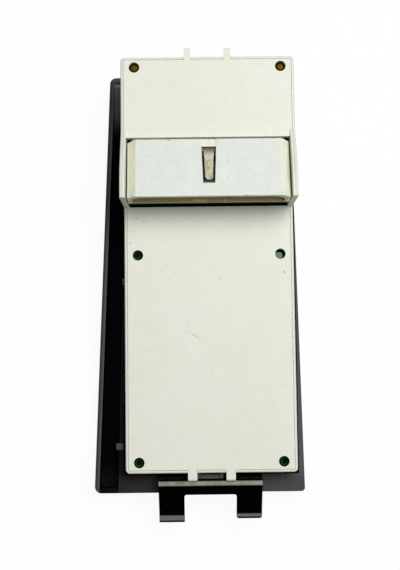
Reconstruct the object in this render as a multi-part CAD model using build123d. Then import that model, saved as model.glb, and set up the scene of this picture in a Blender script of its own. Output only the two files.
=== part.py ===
"""Power window switch of a driver's door, modelled back up as it lies on its bezel.

The front of the bezel is the plane Z = 0, +Z points out of the back, +Y points to the
connector end and X = 0 is the middle of the housing. All sizes are in millimetres.
"""
import os
from math import radians, sin, tan

from build123d import *

# Housing: an ivory case closed by an ivory rear cover
housing_length = 168.8
housing_width = 70.0           # outside the case at the level of the lower cover
side_draft = 1.4               # degrees by which the side walls lean outwards
case_wall = 2.0
case_corner = 1.6
case_edge_round = 0.7          # outer rear edges of the case
skirt_inset = 3.2              # the part of the case inside the bezel, each side
skirt_depth = 4.0
deck_thickness = 2.0
cover_level = 26.0             # rear face of the lower cover
cover_thickness = 2.0
cover_rim = 1.05               # case wall that shows outside the cover
cover_fit = 0.08
rim_drop = 0.1                 # the case wall ends this far under the cover's face
cover_bevel = 0.15
block_length = 59.4            # raised block at the connector end
block_step = 15.0              # its face above the lower cover
mouth_rise = 8.5               # crest of the cheeks above the block's face
ramp_foot = 30.4               # from the connector end to the foot of the ramp
ramp_angle = 24.0
crest_radius = 25.0
cheek_thickness = 1.0          # inner cheek, moulded with the cover
plate_length = 33.5            # flat face of the block
riser_thickness = 1.8
hole_diameter = 4.3
hole_side_inset = 5.55         # from the housing's side to the hole's centre
hole_inset = 4.3               # from each end of the housing
middle_hole_offset = 4.9       # the middle pair from the housing's centre
standoff_diameter = 4.0
standoff_depth = 0.9           # its top under the block's face
standoff_round = 1.2

# Small catches on the cover
end_tongue_width = 3.8
end_tongue_reach = 3.32
end_tongue_spacing = 15.6
end_tongue_thickness = 1.6
end_tongue_round = 0.96
top_tongue_width = 2.6
top_tongue_reach = 3.6
top_tongue_spacing = 16.4
top_tongue_round = 0.8

# Connector header
header_side_gap = 0.25
header_rear_gap = 1.2
header_back_level = 2.0        # its rear top edge above the block's face
header_bevel_width = 3.4
header_bevel_drop = 3.0
header_wall = 2.0
header_floor = 2.4
header_underside = 8.0         # open gap between the header and the lower cover
header_back_wall = 7.0
header_corner_width = 2.4      # cut off each rear corner
header_corner_length = 0.9
header_foot_inset = 0.6        # foot behind the socket's back and the header's rear
slot_length = 15.6
slot_wide_end = 5.9
slot_narrow_end = 4.8
slot_from_mouth = 5.8
slot_offset = 0.2
slot_lead_depth = 0.4
slot_shelf = 3.6               # shelf at the wide end, on which the tongue is rooted
slot_sill = 1.3                # bridge at the narrow end
slot_sill_thickness = 1.2
tongue_gap = 0.9
tongue_tip_gap = 1.6
tongue_root_gap = 1.7
tongue_sink = 1.0
tongue_thickness = 1.2
tongue_round = 1.0
key_ribs = ((-3.65, 5.8), (6.5, 0.8))  # (place, width) of each
key_rib_height = 2.5
key_rib_setback = 0.6          # behind the mouth
key_rib_clearance = 1.0        # before the terminals' tips
terminal_count = 13            # columns; the middle one is left out for the lock
terminal_pitch = 4.0
terminal_size = 0.8
terminal_length = 9.0          # free length in the socket
terminal_rows = 3.2            # between the two rows
terminal_first_row = 2.2       # lower row above the socket's floor
terminal_hole_gap = 0.1
terminal_tail = 1.2            # past the board

# Circuit board and what it carries
board_thickness = 1.6
board_gap = 0.5                # round the edge of the board
board_depth = 4.0              # board's rear face under the lower cover's face
post_radius = 3.0
post_sink = 0.6                # into the side wall
board_corner = 1.5             # corners of the board
relay_length = 15.0
relay_width = 12.0
relay_height = 11.5
relay_corner = 0.8
relay_end_gap = 3.0            # to the case's end wall
relay_pitch = 17.25
chip_size = 12.0
chip_height = 1.6
film_capacitor_length = 7.0
film_capacitor_width = 5.0
film_capacitor_height = 1.5
film_capacitor_corner = 1.0
film_capacitor_shift = 0.95    # past the hole's centre
pad_thickness = 0.1

# Bezel
bezel_height = 14.0
bezel_draft = 4.0
bezel_rim = 1.9
bezel_channel = 7.9
bezel_face = 2.4
bezel_end_reach = 8.5          # past the housing's bottom end
bezel_top_inset = 1.0          # short of the housing's connector end
bezel_left_reach = 13.6        # past the housing's side at the bottom end
bezel_left_taper = 7.2         # less at the connector end
bezel_right_reach = 3.7
bezel_right_taper = 3.3
bezel_corner = 2.7             # on the left
bezel_right_corner = 1.4
bezel_edge_round = 1.6
bezel_fit = 0.3
channel_shallow_length = 34.0
channel_shallow_level = 11.5
channel_land = 2.0             # at least, between the channel and the case
lug_length = 2.8
lug_width = 2.7
lug_height = 1.0
lug_overhang = 1.4             # into the channel
lug_first = 10.7               # from the housing's bottom end
lug_second = 79.7
tab_width = 7.5                # upright tab of the bezel in the clip's window
tab_thickness = 1.7
tab_gap = 0.85                 # to the housing
tab_height = 7.0
tab_guide_width = 1.4          # ribs of the case beside the tab
tab_guide_gap = 0.2
tab_guide_drop = 0.4           # under the tab's top
collar_wall = 1.6
collar_gap = 0.3

# Window levers, door lock rocker and window lock-out button
well_width = 20.0
well_length = 36.0
well_spacing = 29.0
well_corner = 2.5
scoop_gap = 0.5                # floor of the finger scoop to the lever's lip
scoop_wall = 1.2
scoop_ramp = 5.0
small_row_inset = 17.4         # from the housing's bottom end to the row's middle
front_row_inset = 51.4
rear_row_inset = 96.4
rocker_well_length = 20.0
rocker_well_width = 18.6
lever_side_gap = 0.4
lever_tail = 8.7               # behind the pivot
lever_reach = 13.0             # from the pivot to the lip
lever_level = 3.0              # outer face of the levers above the bezel's front plane
lever_plate = 2.4
lever_lip_depth = 3.4
lever_lip_width = 2.4
lever_lip_slope = 1.2          # fall and run of the lip's slope
lever_tail_drop = 0.6
lever_tail_run = 2.5
lever_dish_share = 0.72        # of the paddle's half width
lever_dish_shift = 1.0
dish_radius = 16.0
dish_depth = 0.9
pivot_level = 8.4
pivot_radius = 1.5
pivot_clearance = 0.05
pivot_offset = 8.0             # pivot behind the middle of the well
hub_radius = 2.6
hub_half_width = 6.0
hub_window = 1.4               # opening in the deck past the hub
ear_gap = 0.3
ear_thickness = 2.0
leg_length = 8.0               # pivot to the middle of the leg's round end
leg_end_radius = 1.2
leg_thickness = 1.6
leg_width = 4.0

# Rocking contacts: the leg's round end tips each one against the board
contact_width = 14.0
contact_length = 12.0
contact_depth = 2.5            # trunnion's middle in front of the board
contact_under = 1.3            # of the block in front of the trunnion's middle
contact_over = 0.85
trunnion_radius = 0.8
trunnion_clearance = 0.05
cam_mouth = 2.6                # half width of the groove for the leg's end
cam_floor = 1.9
cam_clearance = 0.2
guide_gap = 0.3
guide_thickness = 1.5
guide_top_gap = 0.6            # guide to the board
guide_half_length = 2.4
root_lap = 0.5                 # of ribs into the wall they stand on
wiper_width = 9.0
wiper_half_length = 5.4
wiper_sheet = 0.3
wiper_ridge = 0.5
pad_length = 2.6
pad_width = 9.4
button_size = 13.6
button_gap = 0.4
button_level = 1.2
button_cap_height = 6.0
button_stem_radius = 2.0
button_stem_gap = 0.25
button_travel = 2.0
button_bevel = 0.8
button_entry = 2.0             # stem inside the switch
switch_size = 8.0
switch_height = 6.0
switch_corner = 0.6
rocker_reach = 8.8
rocker_level = 2.4
rocker_ridge = 1.2             # fall of the cap towards its middle
rocker_ridge_half = 1.5
rocker_ridge_height = 0.5

# Spring clip
clip_sheet = 0.8
clip_width = 42.4
clip_offset = -0.6
clip_leg_width = 10.5
clip_web = 3.8
clip_bend = 0.9
clip_reach = 2.9               # from the housing's end to the crown
clip_crown = 1.5
clip_crown_drop = 1.7          # crown under the lower cover's face
clip_leg_drop = 9.4
clip_leg_run = 12.15
clip_toe = 2.8
clip_toe_skew = 0.9            # the right toe is this much shorter
clip_corner = 1.0
clip_foot_level = 14.6
clip_neck_drop = 3.4           # step behind the crown
clip_window = 11.4
rivet_radius = 1.4
rivet_head_radius = 2.2
rivet_head_height = 0.7
rivet_spacing = 32.0
rivet_level = 16.5

# ---------------------------------------------------------------- derived places
half_length = housing_length / 2
mouth_y = half_length - block_length
plate_end_y = half_length - plate_length
foot_y = half_length - ramp_foot
block_level = cover_level + block_step
crest_level = block_level + mouth_rise
deck_front = bezel_height - skirt_depth
deck_back = deck_front + deck_thickness
board_back = cover_level - board_depth
board_front = board_back - board_thickness
skirt_half_width = housing_width / 2 - skirt_inset
skirt_half_length = half_length - skirt_inset
well_x = well_spacing / 2
trunnion_level = board_front - contact_depth
small_row_y = small_row_inset - half_length
front_row_y = front_row_inset - half_length
rear_row_y = rear_row_inset - half_length
bezel_bottom = -half_length - bezel_end_reach
bezel_top = half_length - bezel_top_inset
bezel_left_bottom = housing_width / 2 + bezel_left_reach
bezel_left_top = bezel_left_bottom - bezel_left_taper
bezel_right_bottom = housing_width / 2 + bezel_right_reach
bezel_right_top = bezel_right_bottom - bezel_right_taper
far = 150.0


def half_width(z, inset=0.0):
    """Half width of the case at height z, less an inset from its outer face."""
    return housing_width / 2 + (z - cover_level) * tan(radians(side_draft)) - inset


def block(x0, x1, y0, y1, z0, z1):
    """Box between two corners."""
    return Pos((x0 + x1) / 2, (y0 + y1) / 2, (z0 + z1) / 2) * Box(x1 - x0, y1 - y0, z1 - z0)


def rod(radius, start, end):
    """Cylinder along X, Y or Z between two points."""
    a, b = Vector(*start), Vector(*end)
    length = (b - a).length
    return Plane(origin=(a + b) / 2, z_dir=(b - a).normalized()) * Cylinder(radius, length)


def side_prism(points, x0, x1):
    """A (Y, Z) outline carried along X."""
    face = make_face(Plane.YZ * Polyline(*points, close=True))
    return Pos(x0, 0, 0) * extrude(face, amount=x1 - x0, dir=(1, 0, 0))


def front_prism(points, y0, y1):
    """An (X, Z) outline carried along Y."""
    face = make_face(Polyline(*[(x, y0, z) for x, z in points], close=True))
    return extrude(face, amount=y1 - y0, dir=(0, 1, 0))


def rounded_block(width, length, corner, z0, z1):
    """Upright box about the origin with rounded corners."""
    return Pos(0, 0, z0) * extrude(RectangleRounded(width, length, corner), amount=z1 - z0)


def drafted_section(inset, z0, z1):
    """(X, Z) outline between the leaning side walls."""
    low, high = half_width(z0, inset), half_width(z1, inset)
    return [(-low, z0), (low, z0), (high, z1), (-high, z1)]


def crest_outline(drop=0.0):
    """(Y, Z) outline of the block's sides, with the ramp run out into a level crest."""
    top, level = crest_level - drop, block_level - drop
    knee_y = foot_y - mouth_rise / tan(radians(ramp_angle))
    run = FilletPolyline(
        (foot_y, level), (knee_y, top), (mouth_y, top), radius=crest_radius
    )
    rest = Polyline(
        (mouth_y, top), (mouth_y, bezel_height), (half_length, bezel_height),
        (half_length, level), (foot_y, level),
    )
    return make_face(Plane.YZ * (run + rest))


# ---------------------------------------------------------------- housing
def cover_holes():
    """(x, y, face level) of the six round holes in the cover."""
    rows = (
        (hole_inset - half_length, cover_level),
        (middle_hole_offset, cover_level),
        (half_length - hole_inset, block_level),
    )
    return [
        (sign * half_width(level, hole_side_inset), y, level) for y, level in rows for sign in (-1, 1)
    ]


def mechanisms():
    """(name, x, pivot y) of the four levers and the door lock rocker."""
    rows = (("front", front_row_y), ("rear", rear_row_y))
    found = [
        (f"{row}_{side}", sign * well_x, y - pivot_offset)
        for row, y in rows
        for side, sign in (("left", -1), ("right", 1))
    ]
    return found + [("door_lock", well_x, small_row_y)]


def post_places():
    """Places of the posts that carry the board."""
    side = skirt_half_width - deck_thickness - post_radius + post_sink
    end = skirt_half_length - deck_thickness - post_radius + post_sink
    return [(x, y) for x in (-side, side) for y in (-end, 0, end)]


def switch_case():
    outside = front_prism(drafted_section(0, bezel_height, far), -half_length, half_length)
    low = block(-far, far, -half_length, mouth_y, bezel_height, cover_level - rim_drop)
    high = extrude(crest_outline(rim_drop), amount=far, dir=(1, 0, 0), both=True)
    body = outside & (low + high)
    corners = body.edges().filter_by(
        lambda e: abs(abs(e.center().Y) - half_length) < 0.01
        and abs(e.center().X) > half_width(bezel_height) - 1
        and e.length > case_corner * 3
    )
    body = fillet(corners, case_corner)
    rims = body.edges().filter_by(
        lambda e: e.bounding_box().min.Z > cover_level - rim_drop - 0.01
        and abs(e.center().Y - mouth_y) > 0.1
        and (abs(e.center().X) > 1 or abs(e.center().Y) > half_length - 0.1)
    )
    body = fillet(rims, case_edge_round)
    body += block(
        -skirt_half_width, skirt_half_width, -skirt_half_length, skirt_half_length,
        deck_front, bezel_height,
    )
    # Hollow inside, up to the ledges that carry the cover
    inner_x, inner_y = skirt_half_width - deck_thickness, skirt_half_length - deck_thickness
    floor = bezel_height + deck_thickness
    cavity_y = half_length - case_wall
    body -= block(-inner_x, inner_x, -inner_y, inner_y, deck_back, floor)
    wide = front_prism(drafted_section(case_wall, floor, far), -cavity_y, cavity_y)
    ledge = cover_level - cover_thickness
    upper_ledge = block_level - cover_thickness
    body -= wide & (
        block(-far, far, -cavity_y, cavity_y, floor, ledge)
        + block(-far, far, plate_end_y, cavity_y, floor, upper_ledge)
    )
    pocket_y = half_length - cover_rim
    pocket = front_prism(drafted_section(cover_rim, ledge, far), -pocket_y, pocket_y)
    body -= pocket & (
        block(-far, far, -pocket_y, plate_end_y + riser_thickness + cover_fit, ledge, far)
        + block(-far, far, plate_end_y, pocket_y, upper_ledge, far)
    )
    # Notches that let the cover's catches out at both ends
    for x in (-end_tongue_spacing / 2, end_tongue_spacing / 2):
        reach = end_tongue_width / 2 + cover_fit
        body -= block(
            x - reach, x + reach, -half_length - 1, -pocket_y + 1,
            cover_level - end_tongue_thickness - cover_fit, far,
        )
    for x in (-top_tongue_spacing / 2, top_tongue_spacing / 2):
        reach = top_tongue_width / 2 + cover_fit
        body -= block(
            x - reach, x + reach, pocket_y - 1, half_length + 1,
            block_level - end_tongue_thickness - cover_fit, far,
        )
    for x, y in post_places():
        body += rod(post_radius, (x, y, deck_back), (x, y, board_front))
    # Pivot ears in front of the deck, slotted guides for the contacts' trunnions behind it
    for _, x, y in mechanisms():
        slot = hub_half_width + ear_gap
        body -= block(
            x - slot, x + slot, y - hub_radius - hub_window, y + hub_radius + hub_window,
            deck_front - 1, deck_back + 1,
        )
        for sign in (-1, 1):
            near = x + sign * slot
            away = near + sign * ear_thickness
            ear = rod(hub_radius, (near, y, pivot_level), (away, y, pivot_level))
            ear += block(
                min(near, away), max(near, away), y - hub_radius, y + hub_radius,
                pivot_level, deck_back,
            )
            body += ear
            inner = x + sign * (contact_width / 2 + guide_gap)
            outer = inner + sign * guide_thickness
            body += block(
                min(inner, outer), max(inner, outer),
                y - guide_half_length, y + guide_half_length,
                deck_back - root_lap, board_front - guide_top_gap,
            )
        bore = pivot_radius + pivot_clearance
        span = slot + ear_thickness
        body -= rod(bore, (x - span, y, pivot_level), (x + span, y, pivot_level))
        seat = trunnion_radius + trunnion_clearance
        span = contact_width / 2 + guide_gap + guide_thickness
        body -= rod(seat, (x - span, y, trunnion_level), (x + span, y, trunnion_level))
        body -= block(x - span, x + span, y - seat, y + seat, trunnion_level, board_front)
    body -= rod(
        button_stem_radius + button_stem_gap,
        (-well_x, small_row_y, deck_front - 1), (-well_x, small_row_y, deck_back + 1),
    )
    for x in rivet_places():
        body -= rod(rivet_radius, (x, -half_length - 1, rivet_level),
                    (x, -half_length + case_wall + 1, rivet_level))
    # Ribs that guide the bezel's tab
    left, right, tab_front, _ = bezel_tab()
    for x in (left - tab_guide_gap - tab_guide_width, right + tab_guide_gap):
        body += block(
            x, x + tab_guide_width, tab_front, -half_length + root_lap,
            bezel_height, bezel_height + tab_height - tab_guide_drop,
        )
    return body


def rear_cover():
    ledge = cover_level - cover_thickness
    upper_ledge = block_level - cover_thickness
    edge = cover_rim + cover_fit
    end_y = half_length - edge
    envelope = front_prism(drafted_section(edge, ledge, far), -end_y, end_y)
    riser_back = plate_end_y + riser_thickness
    body = envelope & (
        block(-far, far, -end_y, riser_back, ledge, cover_level)
        + block(-far, far, plate_end_y, end_y, upper_ledge, block_level)
    )
    riser_half = half_width(ledge, case_wall + cover_fit)
    body += block(-riser_half, riser_half, plate_end_y, riser_back, ledge, block_level)
    # Bevelled outer edges of the two flat faces
    rims = body.edges().filter_by(
        lambda e: (
            abs(e.center().Z - cover_level) < 0.01 and e.center().Y < mouth_y
        ) or (
            abs(e.center().Z - block_level) < 0.01 and e.center().Y > plate_end_y + 1
        )
    ).filter_by(lambda e: abs(e.center().X) > half_width(ledge, edge) - 2
                or abs(e.center().Y) > end_y - 0.01)
    body = chamfer(rims, cover_bevel)
    # Inner cheeks beside the connector
    cheeks = extrude(crest_outline(), amount=far, dir=(1, 0, 0), both=True)
    cheeks &= block(-far, far, mouth_y, foot_y, ledge, far)
    cheeks &= front_prism(drafted_section(edge, ledge, far), mouth_y, foot_y)
    cheeks -= front_prism(
        drafted_section(edge + cheek_thickness, ledge - 1, far + 1), mouth_y - 1, plate_end_y
    )
    cheeks -= block(-far, far, plate_end_y, foot_y, ledge - 1, upper_ledge)
    middle = half_width(block_level, edge + cheek_thickness)
    cheeks -= block(-middle, middle, mouth_y - 1, foot_y + 1, block_level, far + 1)
    body += cheeks
    # Window under the connector, between the cheeks
    body -= front_prism(
        drafted_section(edge + cheek_thickness, ledge - 1, cover_level + 1), mouth_y, plate_end_y
    )
    for x, y, level in cover_holes():
        body -= rod(hole_diameter / 2, (x, y, level - cover_thickness - 1), (x, y, level + 1))
    for x in (-end_tongue_spacing / 2, end_tongue_spacing / 2):
        catch = block(
            x - end_tongue_width / 2, x + end_tongue_width / 2,
            -half_length - end_tongue_reach, -end_y + 1,
            cover_level - end_tongue_thickness, cover_level,
        )
        tip = catch.edges().filter_by(Axis.X).sort_by(Axis.Y)[:2].sort_by(Axis.Z)[-1]
        body += fillet(tip, end_tongue_round)
    for x in (-top_tongue_spacing / 2, top_tongue_spacing / 2):
        catch = block(
            x - top_tongue_width / 2, x + top_tongue_width / 2,
            end_y - 1, half_length + top_tongue_reach,
            block_level - end_tongue_thickness, block_level,
        )
        tip = catch.edges().filter_by(Axis.X).sort_by(Axis.Y)[-2:].sort_by(Axis.Z)[-1]
        body += fillet(tip, top_tongue_round)
    return body


# ---------------------------------------------------------------- connector
def header_half_width():
    return half_width(cover_level, cover_rim + cover_fit + cheek_thickness + header_side_gap)


def header_bottom():
    return cover_level + header_underside


def header_back_y():
    return plate_end_y - header_rear_gap


def header_top(y):
    """Height of the header's sloping face at y."""
    back = block_level + header_back_level
    share = (header_back_y() - y) / (header_back_y() - mouth_y)
    return back + (crest_level - back) * share


def face_layer(y0, y1, upper, lower):
    """Slab along the header's sloping face, between two depths under it."""
    return side_prism(
        [(y0, header_top(y0) - lower), (y1, header_top(y1) - lower),
         (y1, header_top(y1) - upper), (y0, header_top(y0) - upper)],
        -far, far,
    )


def slot_ends():
    """y of the slot's narrow end, by the mouth, and of its wide end."""
    narrow = mouth_y + slot_from_mouth
    return narrow, narrow + slot_length


def header_section(y, inset, bottom):
    """(X, Y, Z) outline of the header across its length, inset from its outer face."""
    top = header_top(y) - inset
    side = header_half_width() - inset
    shoulder = top - header_bevel_drop
    flat = side - header_bevel_width
    return [
        (-side, y, bottom), (side, y, bottom), (side, y, shoulder),
        (flat, y, top), (-flat, y, top), (-side, y, shoulder),
    ]


def header_loft(y0, y1, inset, bottom):
    faces = [make_face(Polyline(*header_section(y, inset, bottom), close=True)) for y in (y0, y1)]
    return loft(faces)


def header_foot():
    """Half width, front y and back y of the foot that stands on the board."""
    front = header_back_y() - header_back_wall + header_foot_inset
    return header_half_width() - 2 * header_wall, front, header_back_y() - header_foot_inset


def terminal_heights():
    low = header_bottom() + header_floor + terminal_first_row
    return low, low + terminal_rows


def terminal_places():
    """x of each column of terminals."""
    middle = terminal_count // 2
    return [(i - middle) * terminal_pitch for i in range(terminal_count) if i != middle]


def terminal(x, z, row, grow=0.0):
    """A square terminal, straight in the socket and turned down into the board."""
    half = terminal_size / 2 + grow
    _, foot_front, foot_back = header_foot()
    front = header_back_y() - header_back_wall - terminal_length
    turn = foot_front + (foot_back - foot_front) * (1 + 2 * row) / 4
    bar = block(x - half, x + half, front - grow, turn + half, z - half, z + half)
    tail = board_front - terminal_tail - grow
    drop = block(x - half, x + half, turn - half, turn + half, tail, z + half)
    return bar + drop


def terminals(grow=0.0):
    return [
        terminal(x, z, row, grow)
        for row, z in enumerate(terminal_heights())
        for x in terminal_places()
    ]


def connector_header():
    back = header_back_y()
    body = header_loft(mouth_y, back, 0, header_bottom())
    # Socket, open at the mouth
    inner_floor = header_bottom() + header_floor
    body -= header_loft(mouth_y - 1, back - header_back_wall, header_wall, inner_floor)
    # Foot that passes through the cover and stands on the board
    foot_x, foot_front, foot_back = header_foot()
    body += block(-foot_x, foot_x, foot_front, foot_back, board_back, header_bottom() + 1)
    # Keying ribs on the socket's floor
    for x, width in key_ribs:
        body += block(
            x - width / 2, x + width / 2, mouth_y + key_rib_setback,
            back - header_back_wall - terminal_length - key_rib_clearance,
            inner_floor - root_lap, inner_floor + key_rib_height,
        )
    near, away = slot_ends()
    slot = make_face(Polyline(
        (slot_offset - slot_narrow_end / 2, near, cover_level),
        (slot_offset + slot_narrow_end / 2, near, cover_level),
        (slot_offset + slot_wide_end / 2, away, cover_level),
        (slot_offset - slot_wide_end / 2, away, cover_level),
        close=True,
    ))
    seat = tongue_sink + tongue_thickness
    sill_x = slot_narrow_end / 2 + slot_sill
    sill = face_layer(near - slot_sill, near + slot_sill, header_wall / 2, seat + slot_sill_thickness)
    body += sill & block(slot_offset - sill_x, slot_offset + sill_x, near - far, away, -far, far)
    opening = extrude(slot, amount=far, dir=(0, 0, 1))
    body -= opening & face_layer(near - 1, away + 1, -far, seat)
    body -= opening & face_layer(near + slot_sill, away - slot_shelf, -far, 2 * header_wall)
    lead = side_prism(
        [(away, header_top(away) - slot_lead_depth), (back + 1, header_top(back + 1) - slot_lead_depth),
         (back + 1, far), (away, far)],
        slot_offset - slot_wide_end / 2, slot_offset + slot_wide_end / 2,
    )
    body -= lead
    side = header_half_width()
    turn_x, turn_y = side - header_corner_width, back - header_corner_length
    for sign in (-1, 1):
        corner = make_face(Polyline(
            (sign * turn_x, back, 0), (sign * side, turn_y, 0), (sign * (side + 1), turn_y, 0),
            (sign * (side + 1), back + 1, 0), (sign * turn_x, back + 1, 0), close=True,
        ))
        body -= extrude(corner, amount=far, dir=(0, 0, 1))
    for pin in terminals():
        body -= pin
    return body


def latch_tongue():
    """Sprung tongue in the slot, rooted on its shelf and free towards the mouth."""
    near, away = slot_ends()
    wide = slot_wide_end / 2 - tongue_gap
    narrow = slot_narrow_end / 2 - tongue_gap
    free, root = near + tongue_tip_gap, away - tongue_root_gap
    outline = make_face(Polyline(
        (slot_offset - narrow, free, 0), (slot_offset + narrow, free, 0),
        (slot_offset + wide, root, 0), (slot_offset - wide, root, 0), close=True,
    ))
    tips = outline.vertices().group_by(Axis.Y)[0]
    outline = fillet(tips, tongue_round)
    layer = face_layer(free - 1, root + 1, tongue_sink, tongue_sink + tongue_thickness)
    return extrude(outline, amount=far, dir=(0, 0, 1)) & layer


# ---------------------------------------------------------------- board
def circuit_board():
    side = half_width(board_front, case_wall + board_gap)
    end = half_length - case_wall - board_gap
    body = rounded_block(2 * side, 2 * end, board_corner, board_front, board_back)
    for pin in terminals(terminal_hole_gap):
        body -= pin
    return body


def brass_standoffs():
    pins = [
        rod(standoff_diameter / 2, (x, y, board_back), (x, y, level - standoff_depth))
        for x, y, level in cover_holes() if level == block_level
    ]
    return Compound([fillet(pin.edges().sort_by(Axis.Z)[-1], standoff_round) for pin in pins])


def relays():
    y = half_length - case_wall - relay_width / 2 - relay_end_gap
    return Compound([
        fillet(
            block(x - relay_length / 2, x + relay_length / 2, y - relay_width / 2,
                  y + relay_width / 2, board_back, board_back + relay_height).edges()
            .filter_by(Axis.Z), relay_corner,
        )
        for x in (-relay_pitch / 2, relay_pitch / 2)
    ])


def control_chip():
    half = chip_size / 2
    y = -half_length / 3
    return block(-half, half, y - half, y + half, board_front - chip_height, board_front)


def film_capacitor():
    """Sits under the middle hole on the right."""
    hole_x = half_width(cover_level, hole_side_inset)
    x = hole_x - film_capacitor_width / 2 + film_capacitor_shift
    y = middle_hole_offset - film_capacitor_length / 2 + film_capacitor_shift
    body = block(
        x - film_capacitor_width / 2, x + film_capacitor_width / 2,
        y - film_capacitor_length / 2, y + film_capacitor_length / 2,
        board_back, board_back + film_capacitor_height,
    )
    return fillet(body.edges().filter_by(Axis.Z), film_capacitor_corner)


def contact_pads():
    pads = []
    for _, x, y in mechanisms():
        for sign in (-1, 1):
            at = y + sign * (wiper_half_length - wiper_ridge)
            pads.append(block(
                x - pad_width / 2, x + pad_width / 2, at - pad_length / 2, at + pad_length / 2,
                board_front - pad_thickness, board_front,
            ))
    return Compound(pads)


def lockout_switch():
    """Push switch on the board, with a bore for the button's stem."""
    half = switch_size / 2
    x, y = -well_x, small_row_y
    body = block(x - half, x + half, y - half, y + half, board_front - switch_height, board_front)
    body = chamfer(body.edges().filter_by(Axis.Z), switch_corner)
    mouth = board_front - switch_height
    depth = mouth + button_entry + button_travel + button_stem_gap
    return body - rod(button_stem_radius + button_stem_gap, (x, y, mouth - 1), (x, y, depth))


# ---------------------------------------------------------------- bezel
def bezel_outline():
    """Corner points of the bezel's rear rim, bottom left first."""
    return [
        (-bezel_left_bottom, bezel_bottom), (bezel_right_bottom, bezel_bottom),
        (bezel_right_top, bezel_top), (-bezel_left_top, bezel_top),
    ]


def left_edge(y, inset):
    """x of a line parallel to the bezel's left edge."""
    share = (y - bezel_bottom) / (bezel_top - bezel_bottom)
    return -bezel_left_bottom + (bezel_left_bottom - bezel_left_top) * share + inset


def wells():
    """(x, y, width, length) of each opening in the bezel's face."""
    found = [
        (sign * well_x, y, well_width, well_length)
        for y in (front_row_y, rear_row_y) for sign in (-1, 1)
    ]
    found.append((well_x, small_row_y, rocker_well_width, rocker_well_length))
    size = button_size + 2 * button_gap
    found.append((-well_x, small_row_y, size, size))
    return found


def bezel_tab():
    """x0, x1, y0 and y1 of the upright tab that stands in the clip's window."""
    back = -half_length - tab_gap
    return clip_offset - tab_width / 2, clip_offset + tab_width / 2, back - tab_thickness, back


def bezel():
    rim = make_face(Polyline(*bezel_outline(), close=True))
    rim = fillet(rim.vertices().sort_by(Axis.X)[:2], bezel_corner)
    rim = fillet(rim.vertices().sort_by(Axis.X)[-2:], bezel_right_corner)
    body = extrude(Pos(0, 0, bezel_height) * rim, amount=bezel_height, dir=(0, 0, -1),
                   taper=bezel_draft)
    body = fillet(body.faces().sort_by(Axis.Z)[0].edges(), bezel_edge_round)
    # Seat for the case
    half_x, half_y = skirt_half_width + bezel_fit, skirt_half_length + bezel_fit
    body -= block(-half_x, half_x, -half_y, half_y, bezel_face, bezel_height + 1)
    # Deep channel inside the left rim, shallow at the top
    bottom, top = bezel_bottom + bezel_rim, bezel_top - bezel_rim
    inner_limit = -half_x - channel_land
    far_line = [
        (left_edge(bottom, bezel_rim + bezel_channel), bottom),
        (min(left_edge(top, bezel_rim + bezel_channel), inner_limit), top),
    ]
    channel = make_face(Polyline(
        (left_edge(bottom, bezel_rim), bottom, 0), (*far_line[0], 0), (*far_line[1], 0),
        (left_edge(top, bezel_rim), top, 0), close=True,
    ))
    channel = extrude(channel, amount=far, dir=(0, 0, 1))
    floor = side_prism(
        [(bottom - 1, bezel_face), (top - channel_shallow_length, bezel_face),
         (top, channel_shallow_level), (top + 1, channel_shallow_level), (top + 1, far),
         (bottom - 1, far)],
        -far, far,
    )
    body -= channel & floor
    # Collars round the openings reach back to the deck
    for x, y, width, length in wells():
        body += Pos(x, y, 0) * rounded_block(
            width + 2 * collar_wall, length + 2 * collar_wall, well_corner + collar_wall,
            bezel_face / 2, deck_front - collar_gap,
        )
    for x, y, width, length in wells():
        body -= Pos(x, y, 0) * rounded_block(width, length, well_corner, -1, deck_front)
    # Finger scoops beyond the levers' lips
    for name, x, y in mechanisms():
        if name == "door_lock":
            continue
        start, end = y + lever_reach + scoop_gap, y + pivot_offset + well_length / 2
        back = deck_front - collar_gap
        body += side_prism(
            [(start, back), (start, back - scoop_wall), (end - scoop_ramp, back - scoop_wall),
             (end, bezel_face), (end, back)],
            x - well_width / 2 - root_lap, x + well_width / 2 + root_lap,
        )
    # Two catch lugs on the wall of the channel
    for y in (-half_length + lug_first, -half_length + lug_second):
        x = left_edge(y, bezel_rim + bezel_channel) - lug_overhang
        body += block(
            x, min(x + lug_length, -half_width(bezel_height) - collar_gap),
            y - lug_width / 2, y + lug_width / 2,
            bezel_height - 2 * lug_height, bezel_height + lug_height,
        )
    return body + block(*bezel_tab(), bezel_height - root_lap, bezel_height + tab_height)


# ---------------------------------------------------------------- controls
def actuator(x, y):
    """Hub, pivot pins and leg that every lever has under its paddle."""
    body = rod(hub_radius, (x - hub_half_width, y, pivot_level), (x + hub_half_width, y, pivot_level))
    body += block(
        x - hub_half_width, x + hub_half_width, y - hub_radius, y + hub_radius,
        lever_level + lever_plate / 2, pivot_level,
    )
    pin = hub_half_width + ear_gap + ear_thickness
    body += rod(pivot_radius, (x - pin, y, pivot_level), (x + pin, y, pivot_level))
    end = pivot_level + leg_length
    body += block(
        x - leg_width / 2, x + leg_width / 2, y - leg_thickness / 2, y + leg_thickness / 2,
        pivot_level, end,
    )
    return body + rod(leg_end_radius, (x - leg_width / 2, y, end), (x + leg_width / 2, y, end))


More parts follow.
